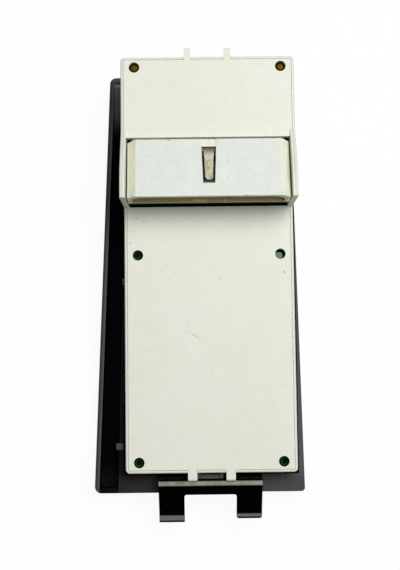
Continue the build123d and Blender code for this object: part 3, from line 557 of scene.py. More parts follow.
@dataclass(frozen=True)
class BezelPlastic(MouldedPlastic):
    """Deep black moulding with painted light and shade: a painted sheen on its rear rim, painted light on the
    land at the right, painted shade black in the channel.
    """

    rim_level: float = 14.0 * MM
    rear_depth: float = 0.35 * MM
    left_line: Place = (1.0, -0.04084, 0.0)
    left_start: float = 44.81 * MM
    rim_width: float = 1.9 * MM
    rim_split: float = 0.95 * MM
    # Painted sheen on the rim, lighter on its inner half.
    rim_inner: Colour = srgb(82, 82, 84)
    rim_outer_sheen: Colour = srgb(58, 58, 60)
    # Painted light and shade by side: darker on the left in the housing's shade, lighter on the right where
    # the light falls.
    light_shade_ends: Ends = (-44 * MM, 37 * MM)
    left_painted_shade: Colour = srgb(27, 26, 26)
    right_painted_light: Colour = srgb(83, 85, 88)
    low_front: float = -86 * MM
    low_share: float = 0.35
    clip_end_tone: Colour = srgb(66, 64, 62)
    top_ends: Ends = (73 * MM, 76 * MM)
    top_colour: Colour = srgb(88, 88, 90)
    # Painted shadow: a black line on the land along the housing's sides and bottom end.
    housing_shadow_half: float = 36.35 * MM
    housing_shadow_front: float = -85.6 * MM
    lug_rise: float = 0.3 * MM
    # Painted highlight on the lugs' tops.
    lug_highlight: Colour = srgb(92, 92, 94)
    side_colour: Colour = srgb(22, 22, 23)
    channel_width: float = 7.9 * MM
    channel_margin: float = 0.15 * MM
    # Painted shade: black for the deep channel and for the shadow beside the housing.
    painted_shade_black: Colour = srgb(1, 1, 1)
    clip_end_channel_ends: Ends = (-78 * MM, -92 * MM)
    clip_end_channel_tone: Colour = srgb(22, 21, 16)
    rise_ends: Ends = (59 * MM, 72 * MM)
    # Painted light where the channel floor rises and on its end wall.
    shallow_painted_light: Colour = srgb(112, 112, 113)
    end_wall: float = 80.2 * MM
    end_wall_painted_light: Colour = srgb(170, 170, 172)
    low_end: float = -90.6 * MM
    # Painted shade on the channel's closed low end.
    low_end_painted_shade: Colour = srgb(13, 13, 11)
    side_drop: float = 1.2 * MM
    side_reach: float = 1.6 * MM
    right_side: float = 33 * MM
    side_coat: float = 0.7
    coat_roughness: float = 0.42

    def from_left(self, graph: Graph) -> Socket:
        """Gives the distance from the slanting left edge."""
        return graph.plane(self.left_line, self.left_start)

    def rear_light_and_shade(self, graph: Graph) -> Socket:
        """Works out the painted light and shade on the rear faces.

        Args:
            graph: The material's graph.

        Returns:
            The colour: painted shade on the left and painted light on the right, warmer towards the clip end,
                grey at the top, painted shadow black beside the housing.
        """
        x, y = graph.axis(0), graph.axis(1)
        # Painted shade on the left and painted light on the right.
        rear_light_and_shade = graph.mix(graph.spread(x, *self.light_shade_ends), self.left_painted_shade, self.right_painted_light)
        low = graph.every(graph.below(y, self.low_front, soft=2 * MM), self.low_share)
        rear_light_and_shade = graph.mix(low, rear_light_and_shade, self.clip_end_tone)
        # Painted shadow, black, along the housing.
        housing_shadow = graph.every(graph.below(graph.maths("ABSOLUTE", x), self.housing_shadow_half, soft=0.12 * MM),
                           graph.above(y, self.housing_shadow_front, soft=0.12 * MM))
        rear_light_and_shade = graph.mix(housing_shadow, rear_light_and_shade, self.painted_shade_black)
        return graph.mix(graph.spread(y, *self.top_ends), rear_light_and_shade, self.top_colour)

    def channel_floor(self, graph: Graph) -> Socket:
        """Works out the colour in the channel.

        Args:
            graph: The material's graph.

        Returns:
            The colour: lighter brown towards the clip end, painted shade black along the channel, painted
                light where the floor rises and on its end wall.
        """
        y = graph.axis(1)
        # Painted shade black along the channel, lighter brown towards the clip end.
        floor = graph.mix(graph.spread(y, *self.clip_end_channel_ends), self.painted_shade_black, self.clip_end_channel_tone)
        # Painted light on the rising floor and on the end wall.
        floor = graph.mix(graph.spread(y, *self.rise_ends), floor, self.shallow_painted_light)
        return graph.mix(graph.above(y, self.end_wall), floor, self.end_wall_painted_light)

    def local_colour(self, graph: Graph, colour: Tint) -> Tint:
        """Paints light and shade on the rear faces, a sheen on the rim and a highlight on the lugs, and
        painted shade in the channel.

        Args:
            graph: The material's graph.
            colour: The moulding's own colour, which none of its faces shows.

        Returns:
            The colour by place.
        """
        from_left, z = self.from_left(graph), graph.axis(2)
        inner, outer = self.rim_width, self.rim_width + self.channel_width
        rear = graph.above(z, self.rim_level - self.rear_depth, soft=0.2 * MM)
        colour = graph.mix(rear, self.side_colour, self.rear_light_and_shade(graph))
        rim = graph.every(rear, graph.below(from_left, inner, soft=0.12 * MM))
        inwards = graph.above(from_left, self.rim_split, soft=0.35 * MM)
        # Painted sheen on the rim.
        colour = graph.mix(rim, colour, graph.mix(inwards, self.rim_outer_sheen, self.rim_inner))
        lugs = graph.above(z, self.rim_level + self.lug_rise, soft=0.15 * MM)
        # Painted highlight on the lugs.
        colour = graph.mix(lugs, colour, self.lug_highlight)
        channel = graph.every(
            graph.within(from_left, inner - self.channel_margin, outer + self.channel_margin),
            graph.below(z, self.rim_level - self.channel_margin, soft=0.05 * MM),
        )
        colour = graph.mix(channel, colour, self.channel_floor(graph))
        # Painted shade on the channel's low end wall.
        low_end = graph.every(graph.below(graph.axis(1), self.low_end, soft=0.2 * MM),
                              graph.within(from_left, inner, outer))
        return graph.mix(low_end, colour, self.low_end_painted_shade)

    def set_gloss(self, graph: Graph, shader: Node) -> None:
        """Adds a satin coat to the outer sides only.

        Args:
            graph: The material's graph.
            shader: Its shader.
        """
        low = graph.below(graph.axis(2), self.rim_level - self.side_drop, soft=0.6 * MM)
        left = graph.every(low, graph.below(self.from_left(graph), self.side_reach))
        right = graph.every(low, graph.above(graph.axis(0), self.right_side))
        coat = graph.every(graph.maths("MAXIMUM", left, right), self.side_coat)
        graph.feed(shader.inputs["Coat Weight"], coat)
        shader.inputs["Coat Roughness"].default_value = self.coat_roughness


@dataclass(frozen=True)
class CasePlastic(MouldedPlastic):
    """The case's plastic, with painted shade on the two ribs that guide the bezel's tab."""

    rib_front: float = -84.6 * MM
    rib_level: float = 21.4 * MM
    rib_middle: float = -0.6 * MM
    rib_half: float = 7.2 * MM
    rib_painted_shade: Colour = srgb(44, 44, 33)

    def local_colour(self, graph: Graph, colour: Tint) -> Tint:
        """Paints shade on the ribs.

        Args:
            graph: The material's graph.
            colour: The moulding's own colour.

        Returns:
            The colour by place.
        """
        ribs = graph.every(
            graph.below(graph.axis(1), self.rib_front), graph.below(graph.axis(2), self.rib_level),
            graph.below(graph.apart(graph.axis(0), self.rib_middle), self.rib_half),
        )
        # Painted shade on the ribs.
        return graph.mix(ribs, colour, self.rib_painted_shade)


@dataclass(frozen=True)
class BoardPlastic(MouldedPlastic):
    """Solder resist, with a pale ring in a surround of painted shade below each hole of the cover.

    Attributes:
        holes: X and Y of the holes in mm.
    """

    holes: tuple[Ends, ...] = ()
    ring_radius: float = 1.35 * MM
    ring_half: float = 0.15 * MM
    ring_colour: Colour = srgb(58, 96, 64)
    # Painted shade from each hole's wall.
    hole_wall_shade: Colour = srgb(0, 6, 2)
    surround_radius: float = 3.2 * MM

    def local_colour(self, graph: Graph, colour: Tint) -> Tint:
        """Draws the rings in their surround of painted shade.

        Args:
            graph: The material's graph.
            colour: The resist's own colour.

        Returns:
            The colour by place.
        """
        level = graph.add("ShaderNodeCombineXYZ", in0=graph.axis(0), in1=graph.axis(1)).outputs[0]
        inner, outer = self.ring_radius - self.ring_half, self.ring_radius + self.ring_half
        for x, y in self.holes:
            away = graph.add("ShaderNodeVectorMath", {"operation": "DISTANCE"},
                             in0=level, in1=(x * MM, y * MM, 0.0)).outputs["Value"]
            around = graph.within(away, self.ring_radius, self.surround_radius)
            # Painted shade around the ring.
            colour = graph.mix(around, colour, self.hole_wall_shade)
            colour = graph.mix(graph.within(away, inner, outer, soft=0.06 * MM), colour, self.ring_colour)
        return colour


@dataclass(frozen=True)
class HeaderPlastic(MouldedPlastic):
    """The connector's plastic: bluish on its sloping face, yellower elsewhere, with painted light and shade
    on its wings and walls, and painted shade in the lock slot.

    A height here is the distance above the sloping face, and a depth the distance below it.
    """

    face_line: Place = (0.0, FACE_FALL, 1.0)
    face_start: float = -(FACE_LOW + FACE_DROP * FACE_REAR / FACE_LENGTH) * MM
    face_depth: float = 0.55 * MM
    face_half: float = 29.08 * MM
    wing_width: float = 3.4 * MM
    wing_depth: float = 3.4 * MM
    # Painted light near the face's edge and painted shade where the wing slopes away.
    wing_light: Colour = srgb(239, 241, 227)
    wing_dark: Colour = srgb(226, 228, 202)
    blotch_size: float = 1.1 * MM
    blotch_share: float = 0.5
    lead_half: float = 2.95 * MM
    lead_front: float = 46.4 * MM
    # Painted light on the lead-in and the sink marks.
    lead_painted_light: Colour = srgb(234, 237, 227)
    sink_places: Ends = (-7.6 * MM, 6.6 * MM)
    sink_half: float = 0.7 * MM
    sink_soft: float = 0.8 * MM
    sink_share: float = 0.4
    slot_middle: float = 0.2 * MM
    slot_half: float = 3.6 * MM
    slot_ends: Ends = (29.2 * MM, 47.0 * MM)
    slot_depths: Ends = (0.5 * MM, 13 * MM)
    # Painted shade in the slot: black walls, a grey shelf and an olive end.
    slot_painted_shade: Colour = srgb(7, 7, 5)
    shelf_painted_shade: Colour = srgb(122, 119, 97)
    slot_end_painted_shade: Colour = srgb(70, 66, 48)
    tongue_ends: Ends = (32.5 * MM, 44.9 * MM)
    # Yellower tint with painted shade, for the walls below the face.
    inside: Colour = srgb(200, 192, 140)
    outside: Colour = srgb(244, 244, 226)
    outer_side: float = 31.9 * MM
    outer_rear: float = 48.8 * MM
    mouth_y: float = 25.0 * MM
    edge_reach: float = 0.35 * MM
    edge_depth: float = 1.6 * MM
    edge_highlight_share: float = 0.75
    # Painted shade on the mouth's front edge.
    mouth_edge_shade: Colour = srgb(150, 138, 98)
    lip_reach: float = 0.4 * MM
    lip_level: float = 35.7 * MM
    # Painted shade, black, on the lip below the socket.
    lip_painted_shade: Colour = srgb(10, 10, 7)

    def face_colour(self, graph: Graph, colour: Tint) -> Socket:
        """Works out the sloping face.

        Args:
            graph: The material's graph.
            colour: The moulding's own colour.

        Returns:
            The colour: painted light on the lead-in over the slot and on two sink marks.
        """
        x = graph.axis(0)
        lead = graph.every(graph.below(graph.apart(x, self.slot_middle), self.lead_half, soft=0.08 * MM),
                           graph.above(graph.axis(1), self.lead_front, soft=0.1 * MM))
        sinks = graph.maths("MAXIMUM", *[
            graph.below(graph.apart(x, place), self.sink_half, soft=self.sink_soft)
            for place in self.sink_places
        ])
        # Painted light on the lead-in and the sink marks.
        painted_light_mask = graph.maths("MAXIMUM", lead, graph.every(sinks, self.sink_share))
        return graph.mix(painted_light_mask, colour, self.lead_painted_light)

    def hidden_colour(self, graph: Graph, height: Socket, side: Socket) -> Socket:
        """Works out the walls below the face.

        Args:
            graph: The material's graph.
            height: Height above the face.
            side: Distance from the middle plane.

        Returns:
            The colour: painted shade in the slot, a yellower tint with painted shade below the face, pale on
                the outer walls.
        """
        x, y = graph.axis(0), graph.axis(1)
        slot = graph.every(
            graph.below(graph.apart(x, self.slot_middle), self.slot_half), graph.within(y, *self.slot_ends),
            graph.below(height, -self.slot_depths[0], soft=0.15 * MM),
            graph.above(height, -self.slot_depths[1]),
        )
        # Painted shade on the slot's walls, shelf and end.
        wall = graph.mix(graph.above(y, self.tongue_ends[1]), self.slot_painted_shade, self.shelf_painted_shade)
        wall = graph.mix(graph.below(y, self.tongue_ends[0]), wall, self.slot_end_painted_shade)
        outer = graph.maths("MAXIMUM", graph.above(side, self.outer_side), graph.above(y, self.outer_rear))
        return graph.mix(slot, graph.mix(outer, self.inside, self.outside), wall)

    def local_colour(self, graph: Graph, colour: Tint) -> Tint:
        """Splits the moulding into its face, its wings, the walls below them and the mouth's edges, which get
        painted shade.

        Args:
            graph: The material's graph.
            colour: The moulding's own colour.

        Returns:
            The colour by place.
        """
        height = graph.plane(self.face_line, self.face_start)
        side, y = graph.maths("ABSOLUTE", graph.axis(0)), graph.axis(1)
        face = graph.every(graph.above(height, -self.face_depth, soft=0.12 * MM),
                           graph.below(side, self.face_half, soft=0.06 * MM))
        wing = graph.every(graph.above(side, self.face_half, soft=0.06 * MM),
                           graph.above(height, -self.wing_depth, soft=0.2 * MM))
        blotches = graph.group(SurfaceEffects.CLOUDS, Size=self.blotch_size, Seed=3.0)
        across = graph.spread(side, self.face_half, self.face_half + self.wing_width)
        tone = graph.maths("MULTIPLY_ADD", blotches.outputs[0], self.blotch_share, across, clamp=True)
        # Painted light and shade across the wings.
        wing_shading = graph.mix(tone, self.wing_light, self.wing_dark)
        colour = graph.mix(face, graph.mix(wing, self.hidden_colour(graph, height, side), wing_shading),
                           self.face_colour(graph, colour))
        edge = graph.every(graph.below(y, self.mouth_y + self.edge_reach, soft=0.12 * MM),
                           graph.above(height, -self.edge_depth, soft=0.2 * MM), self.edge_highlight_share)
        lip = graph.every(graph.below(y, self.mouth_y + self.lip_reach),
                          graph.below(graph.axis(2), self.lip_level))
        # Painted shade on the mouth's edge and the lip.
        return graph.mix(lip, graph.mix(edge, colour, self.mouth_edge_shade), self.lip_painted_shade)


@dataclass(frozen=True)
class RoughTongue(MouldedPlastic):
    """The latch tongue: a rough moulding with brown pits, with painted shade at its root."""

    pit_colour: Colour = srgb(148, 142, 108)
    pit_size: float = 0.8 * MM
    pit_ends: Ends = (-0.1, 0.3)
    stain_size: float = 3.5 * MM
    stain_share: float = 0.9
    # Painted shade near the root, where the tongue runs into the slot.
    root: Ends = (42.4 * MM, 44.6 * MM)
    root_shade_share: float = 0.55

    def local_colour(self, graph: Graph, colour: Tint) -> Tint:
        """Scatters brown pits and stains, and paints shade at the root.

        Args:
            graph: The material's graph.
            colour: The moulding's own colour.

        Returns:
            The colour by place.
        """
        fine = graph.group(SurfaceEffects.CLOUDS, Size=self.pit_size, Seed=1.7)
        slow = graph.group(SurfaceEffects.CLOUDS, Size=self.stain_size, Seed=6.1)
        pits = graph.maths("MULTIPLY_ADD", slow.outputs[0], self.stain_share, fine.outputs[0])
        # Pits and stains, with painted shade at the root.
        share = graph.maths("MULTIPLY_ADD", graph.spread(graph.axis(1), *self.root), self.root_shade_share,
                            graph.spread(pits, *self.pit_ends), clamp=True)
        return graph.mix(share, colour, self.pit_colour)


@dataclass(frozen=True)
class SheetMetal:
    """Metal with brushed lines, blotches and edges rubbed bright."""

    name: str
    colour: Colour
    roughness: float = 0.35
    metallic: float = 1.0
    specular: float = 0.5
    line_scale: Place = (2500.0, 120.0, 900.0)
    line_depth: float = 0.004 * MM
    line_shade: Ends = (0.3, 0.85)
    line_gloss: Ends = (0.25, -0.12)
    bump_strength: float = 0.5
    blotch_size: float = 2 * MM
    blotch_ends: Ends = (-0.05, 0.15)
    blotch_colour: Colour = srgb(90, 84, 76)
    blotch_share: float = 0.25
    edge_colour: Colour = srgb(225, 222, 215)
    edge_strength: float = 0.5
    edge_radius: float = 0.12 * MM
    edge_gain: float = 5.0

    def material(self) -> bpy.types.Material:
        """Builds the material.

        Returns:
            The material.
        """
        material, graph, shader = new_material(self.name)
        mapped = graph.add("ShaderNodeMapping", Vector=graph.place(), Scale=self.line_scale)
        lines = graph.add("ShaderNodeTexNoise", Vector=mapped.outputs[0], Scale=1.0, Detail=3.0)
        clouds = graph.group(SurfaceEffects.CLOUDS, Size=self.blotch_size)
        edges = graph.group(SurfaceEffects.EDGES, Radius=self.edge_radius, Gain=self.edge_gain)
        blotch = graph.every(graph.spread(clouds.outputs[0], *self.blotch_ends), self.blotch_share)
        colour = graph.mix(blotch, self.colour, self.blotch_colour)
        colour = graph.lighten(colour, graph.maths("MULTIPLY_ADD", lines.outputs[0], *self.line_shade))
        colour = graph.mix(graph.every(edges.outputs["Mask"], self.edge_strength), colour, self.edge_colour)
        graph.feed(shader.inputs["Base Color"], colour)
        shader.inputs["Metallic"].default_value = self.metallic
        shader.inputs["Specular IOR Level"].default_value = self.specular
        swing, offset = self.line_gloss
        rough = graph.maths("MULTIPLY_ADD", lines.outputs[0], swing, self.roughness + offset)
        graph.feed(shader.inputs["Roughness"], rough)
        graph.raise_normal(shader, lines.outputs[0], edges, self.bump_strength, self.line_depth)
        return material


@dataclass(frozen=True)
class BlackenedSpring:
    """Black oxide on spring steel, with painted highlights on the crown and the toes, and painted shade on
    the neck and the toe edges.
    """

    name: str = "blackened_spring"
    black: Colour = srgb(1, 1, 1)
    # Painted shade on the neck.
    brown: Colour = srgb(38, 27, 20)
    # Painted highlight on the crown, where the bend catches the light.
    crown: Colour = srgb(128, 125, 118)
    # Painted highlight on the toes.
    toe: Colour = srgb(92, 93, 88)
    stain: Colour = srgb(104, 94, 82)
    specular: float = 0.005
    oxide_roughness: float = 0.4
    crown_level: float = 24.3 * MM
    crown_depth: float = 0.35 * MM
    crown_ends: Ends = (-89.6 * MM, -87.2 * MM)
    neck_level: float = 18.0 * MM
    neck_ends: Ends = (-87.3 * MM, -86.1 * MM)
    neck_grain: float = 0.6 * MM
    neck_spread: Ends = (-0.15, 0.2)
    toe_level: float = 15.5 * MM
    toe_front: float = -102.2 * MM
    front_skew: float = 0.6 * MM
    toe_end: float = -104.95 * MM
    toe_skew: float = 1.3 * MM
    tip_ends: Ends = (1.0 * MM, 0.5 * MM)
    rim_radius: float = 0.45 * MM
    rim_gain: float = 5.0
    highlight_break_size: float = 2.5 * MM
    highlight_break_spread: tuple[float, ...] = (0.25, -0.25, 0.8, 1.0)
    line_scale: Place = (90.0, 2400.0, 2400.0)
    line_depth: float = 0.003 * MM
    bump_strength: float = 0.4
    crown_shade: Ends = (0.7, 0.65)
    toe_shade: Ends = (0.5, 0.75)
    edge_radius: float = 0.1 * MM
    edge_gain: float = 3.0
    edge_highlight_share: float = 0.06
    highlit_metallic: float = 0.35
    highlit_gloss: float = 0.08
    stains: tuple[Mark, ...] = marks_at(24.3, 1.0, (
        (-13.0, -88.4, 2.6, 0.8, 0.0, 0.8), (-8.6, -88.7, 1.5, 0.5, 10.0, 0.6),
        (3.5, -88.9, 1.2, 0.4, -8.0, 0.4),
    ))

    def toes(self, graph: Graph, right: Socket) -> tuple[Socket, Socket]:
        """Works out the toes' painted highlight and the painted shade at their tips.

        Args:
            graph: The material's graph.
            right: Mask of the right leg, whose toe is shorter.

        Returns:
            The mask of the toes' painted highlight and that of the painted shade on their rolled tips.
        """
        y = graph.axis(1)
        front = graph.maths("MULTIPLY_ADD", right, self.front_skew, self.toe_front)
        toes = graph.every(graph.below(graph.maths("SUBTRACT", y, front), 0.0, soft=0.25 * MM),
                           graph.below(graph.axis(2), self.toe_level))
        tip = graph.maths("MULTIPLY_ADD", right, self.toe_skew, self.toe_end)
        rolled = graph.every(toes, graph.spread(graph.maths("SUBTRACT", y, tip), *self.tip_ends))
        return toes, rolled

    def material(self) -> bpy.types.Material:
        """Builds the material: painted highlights where the sheet lies level, on the crown and the toes.

        Returns:
            The material.
        """
        material, graph, shader = new_material(self.name)
        x, y, z = (graph.axis(index) for index in range(3))
        crown = graph.every(graph.above(z, self.crown_level - self.crown_depth, soft=0.12 * MM),
                            graph.within(y, *self.crown_ends, soft=0.15 * MM))
        toes, rolled = self.toes(graph, graph.above(x, 0.0))
        neck = graph.every(graph.within(y, *self.neck_ends, soft=0.2 * MM),
                           graph.above(z, self.neck_level, soft=0.4 * MM))
        rims = graph.group(SurfaceEffects.EDGES, Radius=self.rim_radius, Gain=self.rim_gain)
        clouds = graph.group(SurfaceEffects.CLOUDS, Size=self.highlight_break_size)
        fine = graph.group(SurfaceEffects.CLOUDS, Size=self.neck_grain, Seed=2.0)
        mapped = graph.add("ShaderNodeMapping", Vector=graph.place(), Scale=self.line_scale)
        lines = graph.add("ShaderNodeTexNoise", Vector=mapped.outputs[0], Scale=1.0, Detail=4.0)
        edges = graph.group(SurfaceEffects.EDGES, Radius=self.edge_radius, Gain=self.edge_gain)
        # Painted highlight on the crown, broken by noise.
        rubbed = graph.every(crown, graph.spread(clouds.outputs[0], *self.highlight_break_spread))
        bright = graph.lighten(self.crown, graph.maths("MULTIPLY_ADD", lines.outputs[0], *self.crown_shade))
        for stain in self.stains:
            bright = graph.mix(stain.mask(graph), bright, self.stain)
        dull = graph.lighten(self.toe, graph.maths("MULTIPLY_ADD", lines.outputs[0], *self.toe_shade))
        # Painted shade on the neck.
        neck_shade = graph.every(neck, graph.spread(fine.outputs[0], *self.neck_spread))
        colour = graph.mix(neck_shade, self.black, self.brown)
        # Painted highlights on the crown and the toes.
        colour = graph.mix(toes, graph.mix(rubbed, colour, bright), dull)
        # Painted shade on the toes' rolled tips and edges.
        dark = graph.maths("MAXIMUM", rolled, graph.every(toes, rims.outputs["Mask"]))
        colour = graph.mix(dark, colour, self.black)
        # Painted highlight along the edges.
        colour = graph.mix(graph.every(edges.outputs["Mask"], self.edge_highlight_share), colour, self.crown)
        graph.feed(shader.inputs["Base Color"], colour)
        # Metallic and glossier where the highlights are painted.
        highlit = graph.maths("MAXIMUM", rubbed, toes)
        graph.feed(shader.inputs["Metallic"], graph.every(highlit, self.highlit_metallic))
        graph.feed(shader.inputs["Roughness"],
                   graph.maths("MULTIPLY_ADD", highlit, self.highlit_gloss, self.oxide_roughness))
        shader.inputs["Specular IOR Level"].default_value = self.specular
        graph.raise_normal(shader, lines.outputs[0], edges, self.bump_strength, self.line_depth)
        return material


def blank_graph(owner: Union[bpy.types.Material, bpy.types.World]) -> Graph:
    """Empties the node tree of a material or a world.

    Args:
        owner: The material or the world.

    Returns:
        The graph of its empty tree.
    """
    owner.use_nodes = True
    owner.node_tree.nodes.clear()
    return Graph(owner.node_tree)


def new_material(name: str) -> tuple[bpy.types.Material, Graph, Node]:
    """Makes a material with one Principled shader.

    Args:
        name: The material's name.

    Returns:
        The material, its graph and the shader node.
    """
    material = bpy.data.materials.new(name)
    graph = blank_graph(material)
    shader = graph.add("ShaderNodeBsdfPrincipled")
    graph.add("ShaderNodeOutputMaterial", Surface=shader.outputs[0])
    return material, graph, shader


def dress(finish: Union[MouldedPlastic, SheetMetal, BlackenedSpring], *nodes: str) -> None:
    """Gives CAD nodes one finish.

    Args:
        finish: The finish, whose material is made once.
        nodes: The nodes that have it.
    """
    material = finish.material()
    for node in nodes:
        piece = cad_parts[node]
        piece.data.materials.clear()
        piece.data.materials.append(material)
        LOG.info("%s: %s", node, material.name)


def nodes_named(*starts: str) -> list[str]:
    """Lists the CAD nodes whose names start so, in alphabetical order."""
    return [node for node in sorted(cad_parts) if node.startswith(starts)]


def add_object(name: str, data: bpy.types.ID) -> bpy.types.Object:
    """Puts an object into the scene.

    Args:
        name: The object's name.
        data: Its mesh, lamp or camera.

    Returns:
        The object.
    """
    made = bpy.data.objects.new(name, data)
    bpy.context.scene.collection.objects.link(made)
    return made


# ------------------------------------------------------------------ worked-out surfaces
def ring_mesh(name: str, tubes: Sequence[np.ndarray]) -> bpy.types.Mesh:
    """Mesh of closed tubes, each through rings of points.

    Point j of ring i joins point j + 1 of the same ring and the same points of ring i + 1 in a
    quad, with the last point of a ring joined to its first. One polygon closes each end.

    Args:
        name: The mesh's name.
        tubes: The points of each tube in metres, as (rings, points in a ring, 3).

    Returns:
        The mesh, with its faces pointing outwards.
    """
    points: list[Sequence[float]] = []
    faces: list[Sequence[int]] = []
    for rings in tubes:
        count, around = rings.shape[:2]
        first = len(points)
        ring, point = np.meshgrid(np.arange(count - 1), np.arange(around), indexing="ij")
        after = (point + 1) % around
        quads = np.stack([ring * around + point, ring * around + after,
                          (ring + 1) * around + after, (ring + 1) * around + point], axis=-1) + first
        start = np.arange(around) + first
        points += rings.reshape(-1, 3).tolist()
        faces += quads.reshape(-1, 4).tolist()
        faces += [start[::-1].tolist(), (start + (count - 1) * around).tolist()]
    mesh = bpy.data.meshes.new(name)
    mesh.from_pydata(points, [], faces)
    mesh.validate()
    mesh.update()
    shell = bmesh.new()
    shell.from_mesh(mesh)
    bmesh.ops.recalc_face_normals(shell, faces=shell.faces)
    shell.to_mesh(mesh)
    shell.free()
    return mesh


def place_piece(mesh: bpy.types.Mesh, material: bpy.types.Material, body: str, node: str) -> None:
    """Puts a worked-out piece, named as its mesh is, into the scene in place of a CAD node.

    Args:
        mesh: Its mesh, in place.
        material: Its finish.
        body: The CAD body that it moves with.
        node: The CAD node that it stands for.
    """
    mesh.materials.append(material)
    piece = add_object(mesh.name, mesh)
    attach(piece, body)
    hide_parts(node)
    LOG.info("%s stands for %s", piece.name, node)


# ------------------------------------------------------------------ sub-assemblies
@dataclass
class Housing:
    """The ivory case, its rear cover and the black bezel."""

    ivory: CasePlastic = field(default_factory=lambda: CasePlastic(
        "ivory_housing", srgb(229, 231, 217), roughness=0.42, occlusion_shade_strength=0.04,
    ))
    cover: MouldedPlastic = field(default_factory=lambda: MouldedPlastic(
        "ivory_cover", srgb(229, 231, 217), roughness=0.45, occlusion_shade_strength=0.04,
        marks=marks_at(26.0, 0.6, (
            (-6.0, -28.8, 3.0, 0.42, -35.0, 0.26), (-9.4, -24.0, 0.75, 0.9, 0.0, 0.1),
            (-8.9, -26.9, 1.7, 0.4, -38.0, 0.1), (4.0, -5.3, 0.5, 0.5, 0.0, 0.25),
            (0.9, -43.6, 0.45, 0.4, 0.0, 0.25), (-17.4, 0.1, 0.3, 0.3, 0.0, 0.5),
            (-16.3, -5.1, 0.28, 0.28, 0.0, 0.45), (-28.6, -2.7, 0.3, 0.3, 0.0, 0.5),
            (31.0, -2.7, 0.35, 1.0, 0.0, 0.6), (18.9, -72.6, 0.2, 1.1, 0.0, 0.22),
            (-32.4, 9.9, 0.8, 0.28, 4.0, 0.5), (-32.6, 15.0, 0.3, 0.3, 0.0, 0.35),
            (-29.8, 20.3, 1.7, 0.25, 12.0, 0.4),
        # Painted shade: black patches in the two dark corners beside the connector.
        )) + tuple(Mark((x, 50.9, 33.5), (1.9, 0.8, 6.6), 0.0, 1.0, srgb(3, 3, 2)) for x in (-31.7, 31.7)),
    ))
    black: BezelPlastic = field(default_factory=lambda: BezelPlastic(
        "black_bezel", srgb(8, 8, 8), roughness=0.5, specular=0.01, grain_contrast=0.25,
        cloud_tint=srgb(30, 29, 28), cloud_contrast=0.1, speck_share=0.04, speck_colour=srgb(90, 88, 84),
        scratch_colour=srgb(60, 60, 62), scratch_amount=0.3, edge_colour=srgb(80, 80, 82), edge_strength=0.25,
        occlusion_shade_colour=srgb(2, 2, 2), occlusion_shade_strength=0.35, occlusion_shade_reach=0.8 * MM,
    ))

    def build(self) -> None:
        """Dresses the three mouldings."""
        dress(self.ivory, "switch_case")
        dress(self.cover, "rear_cover")
        dress(self.black, "bezel")


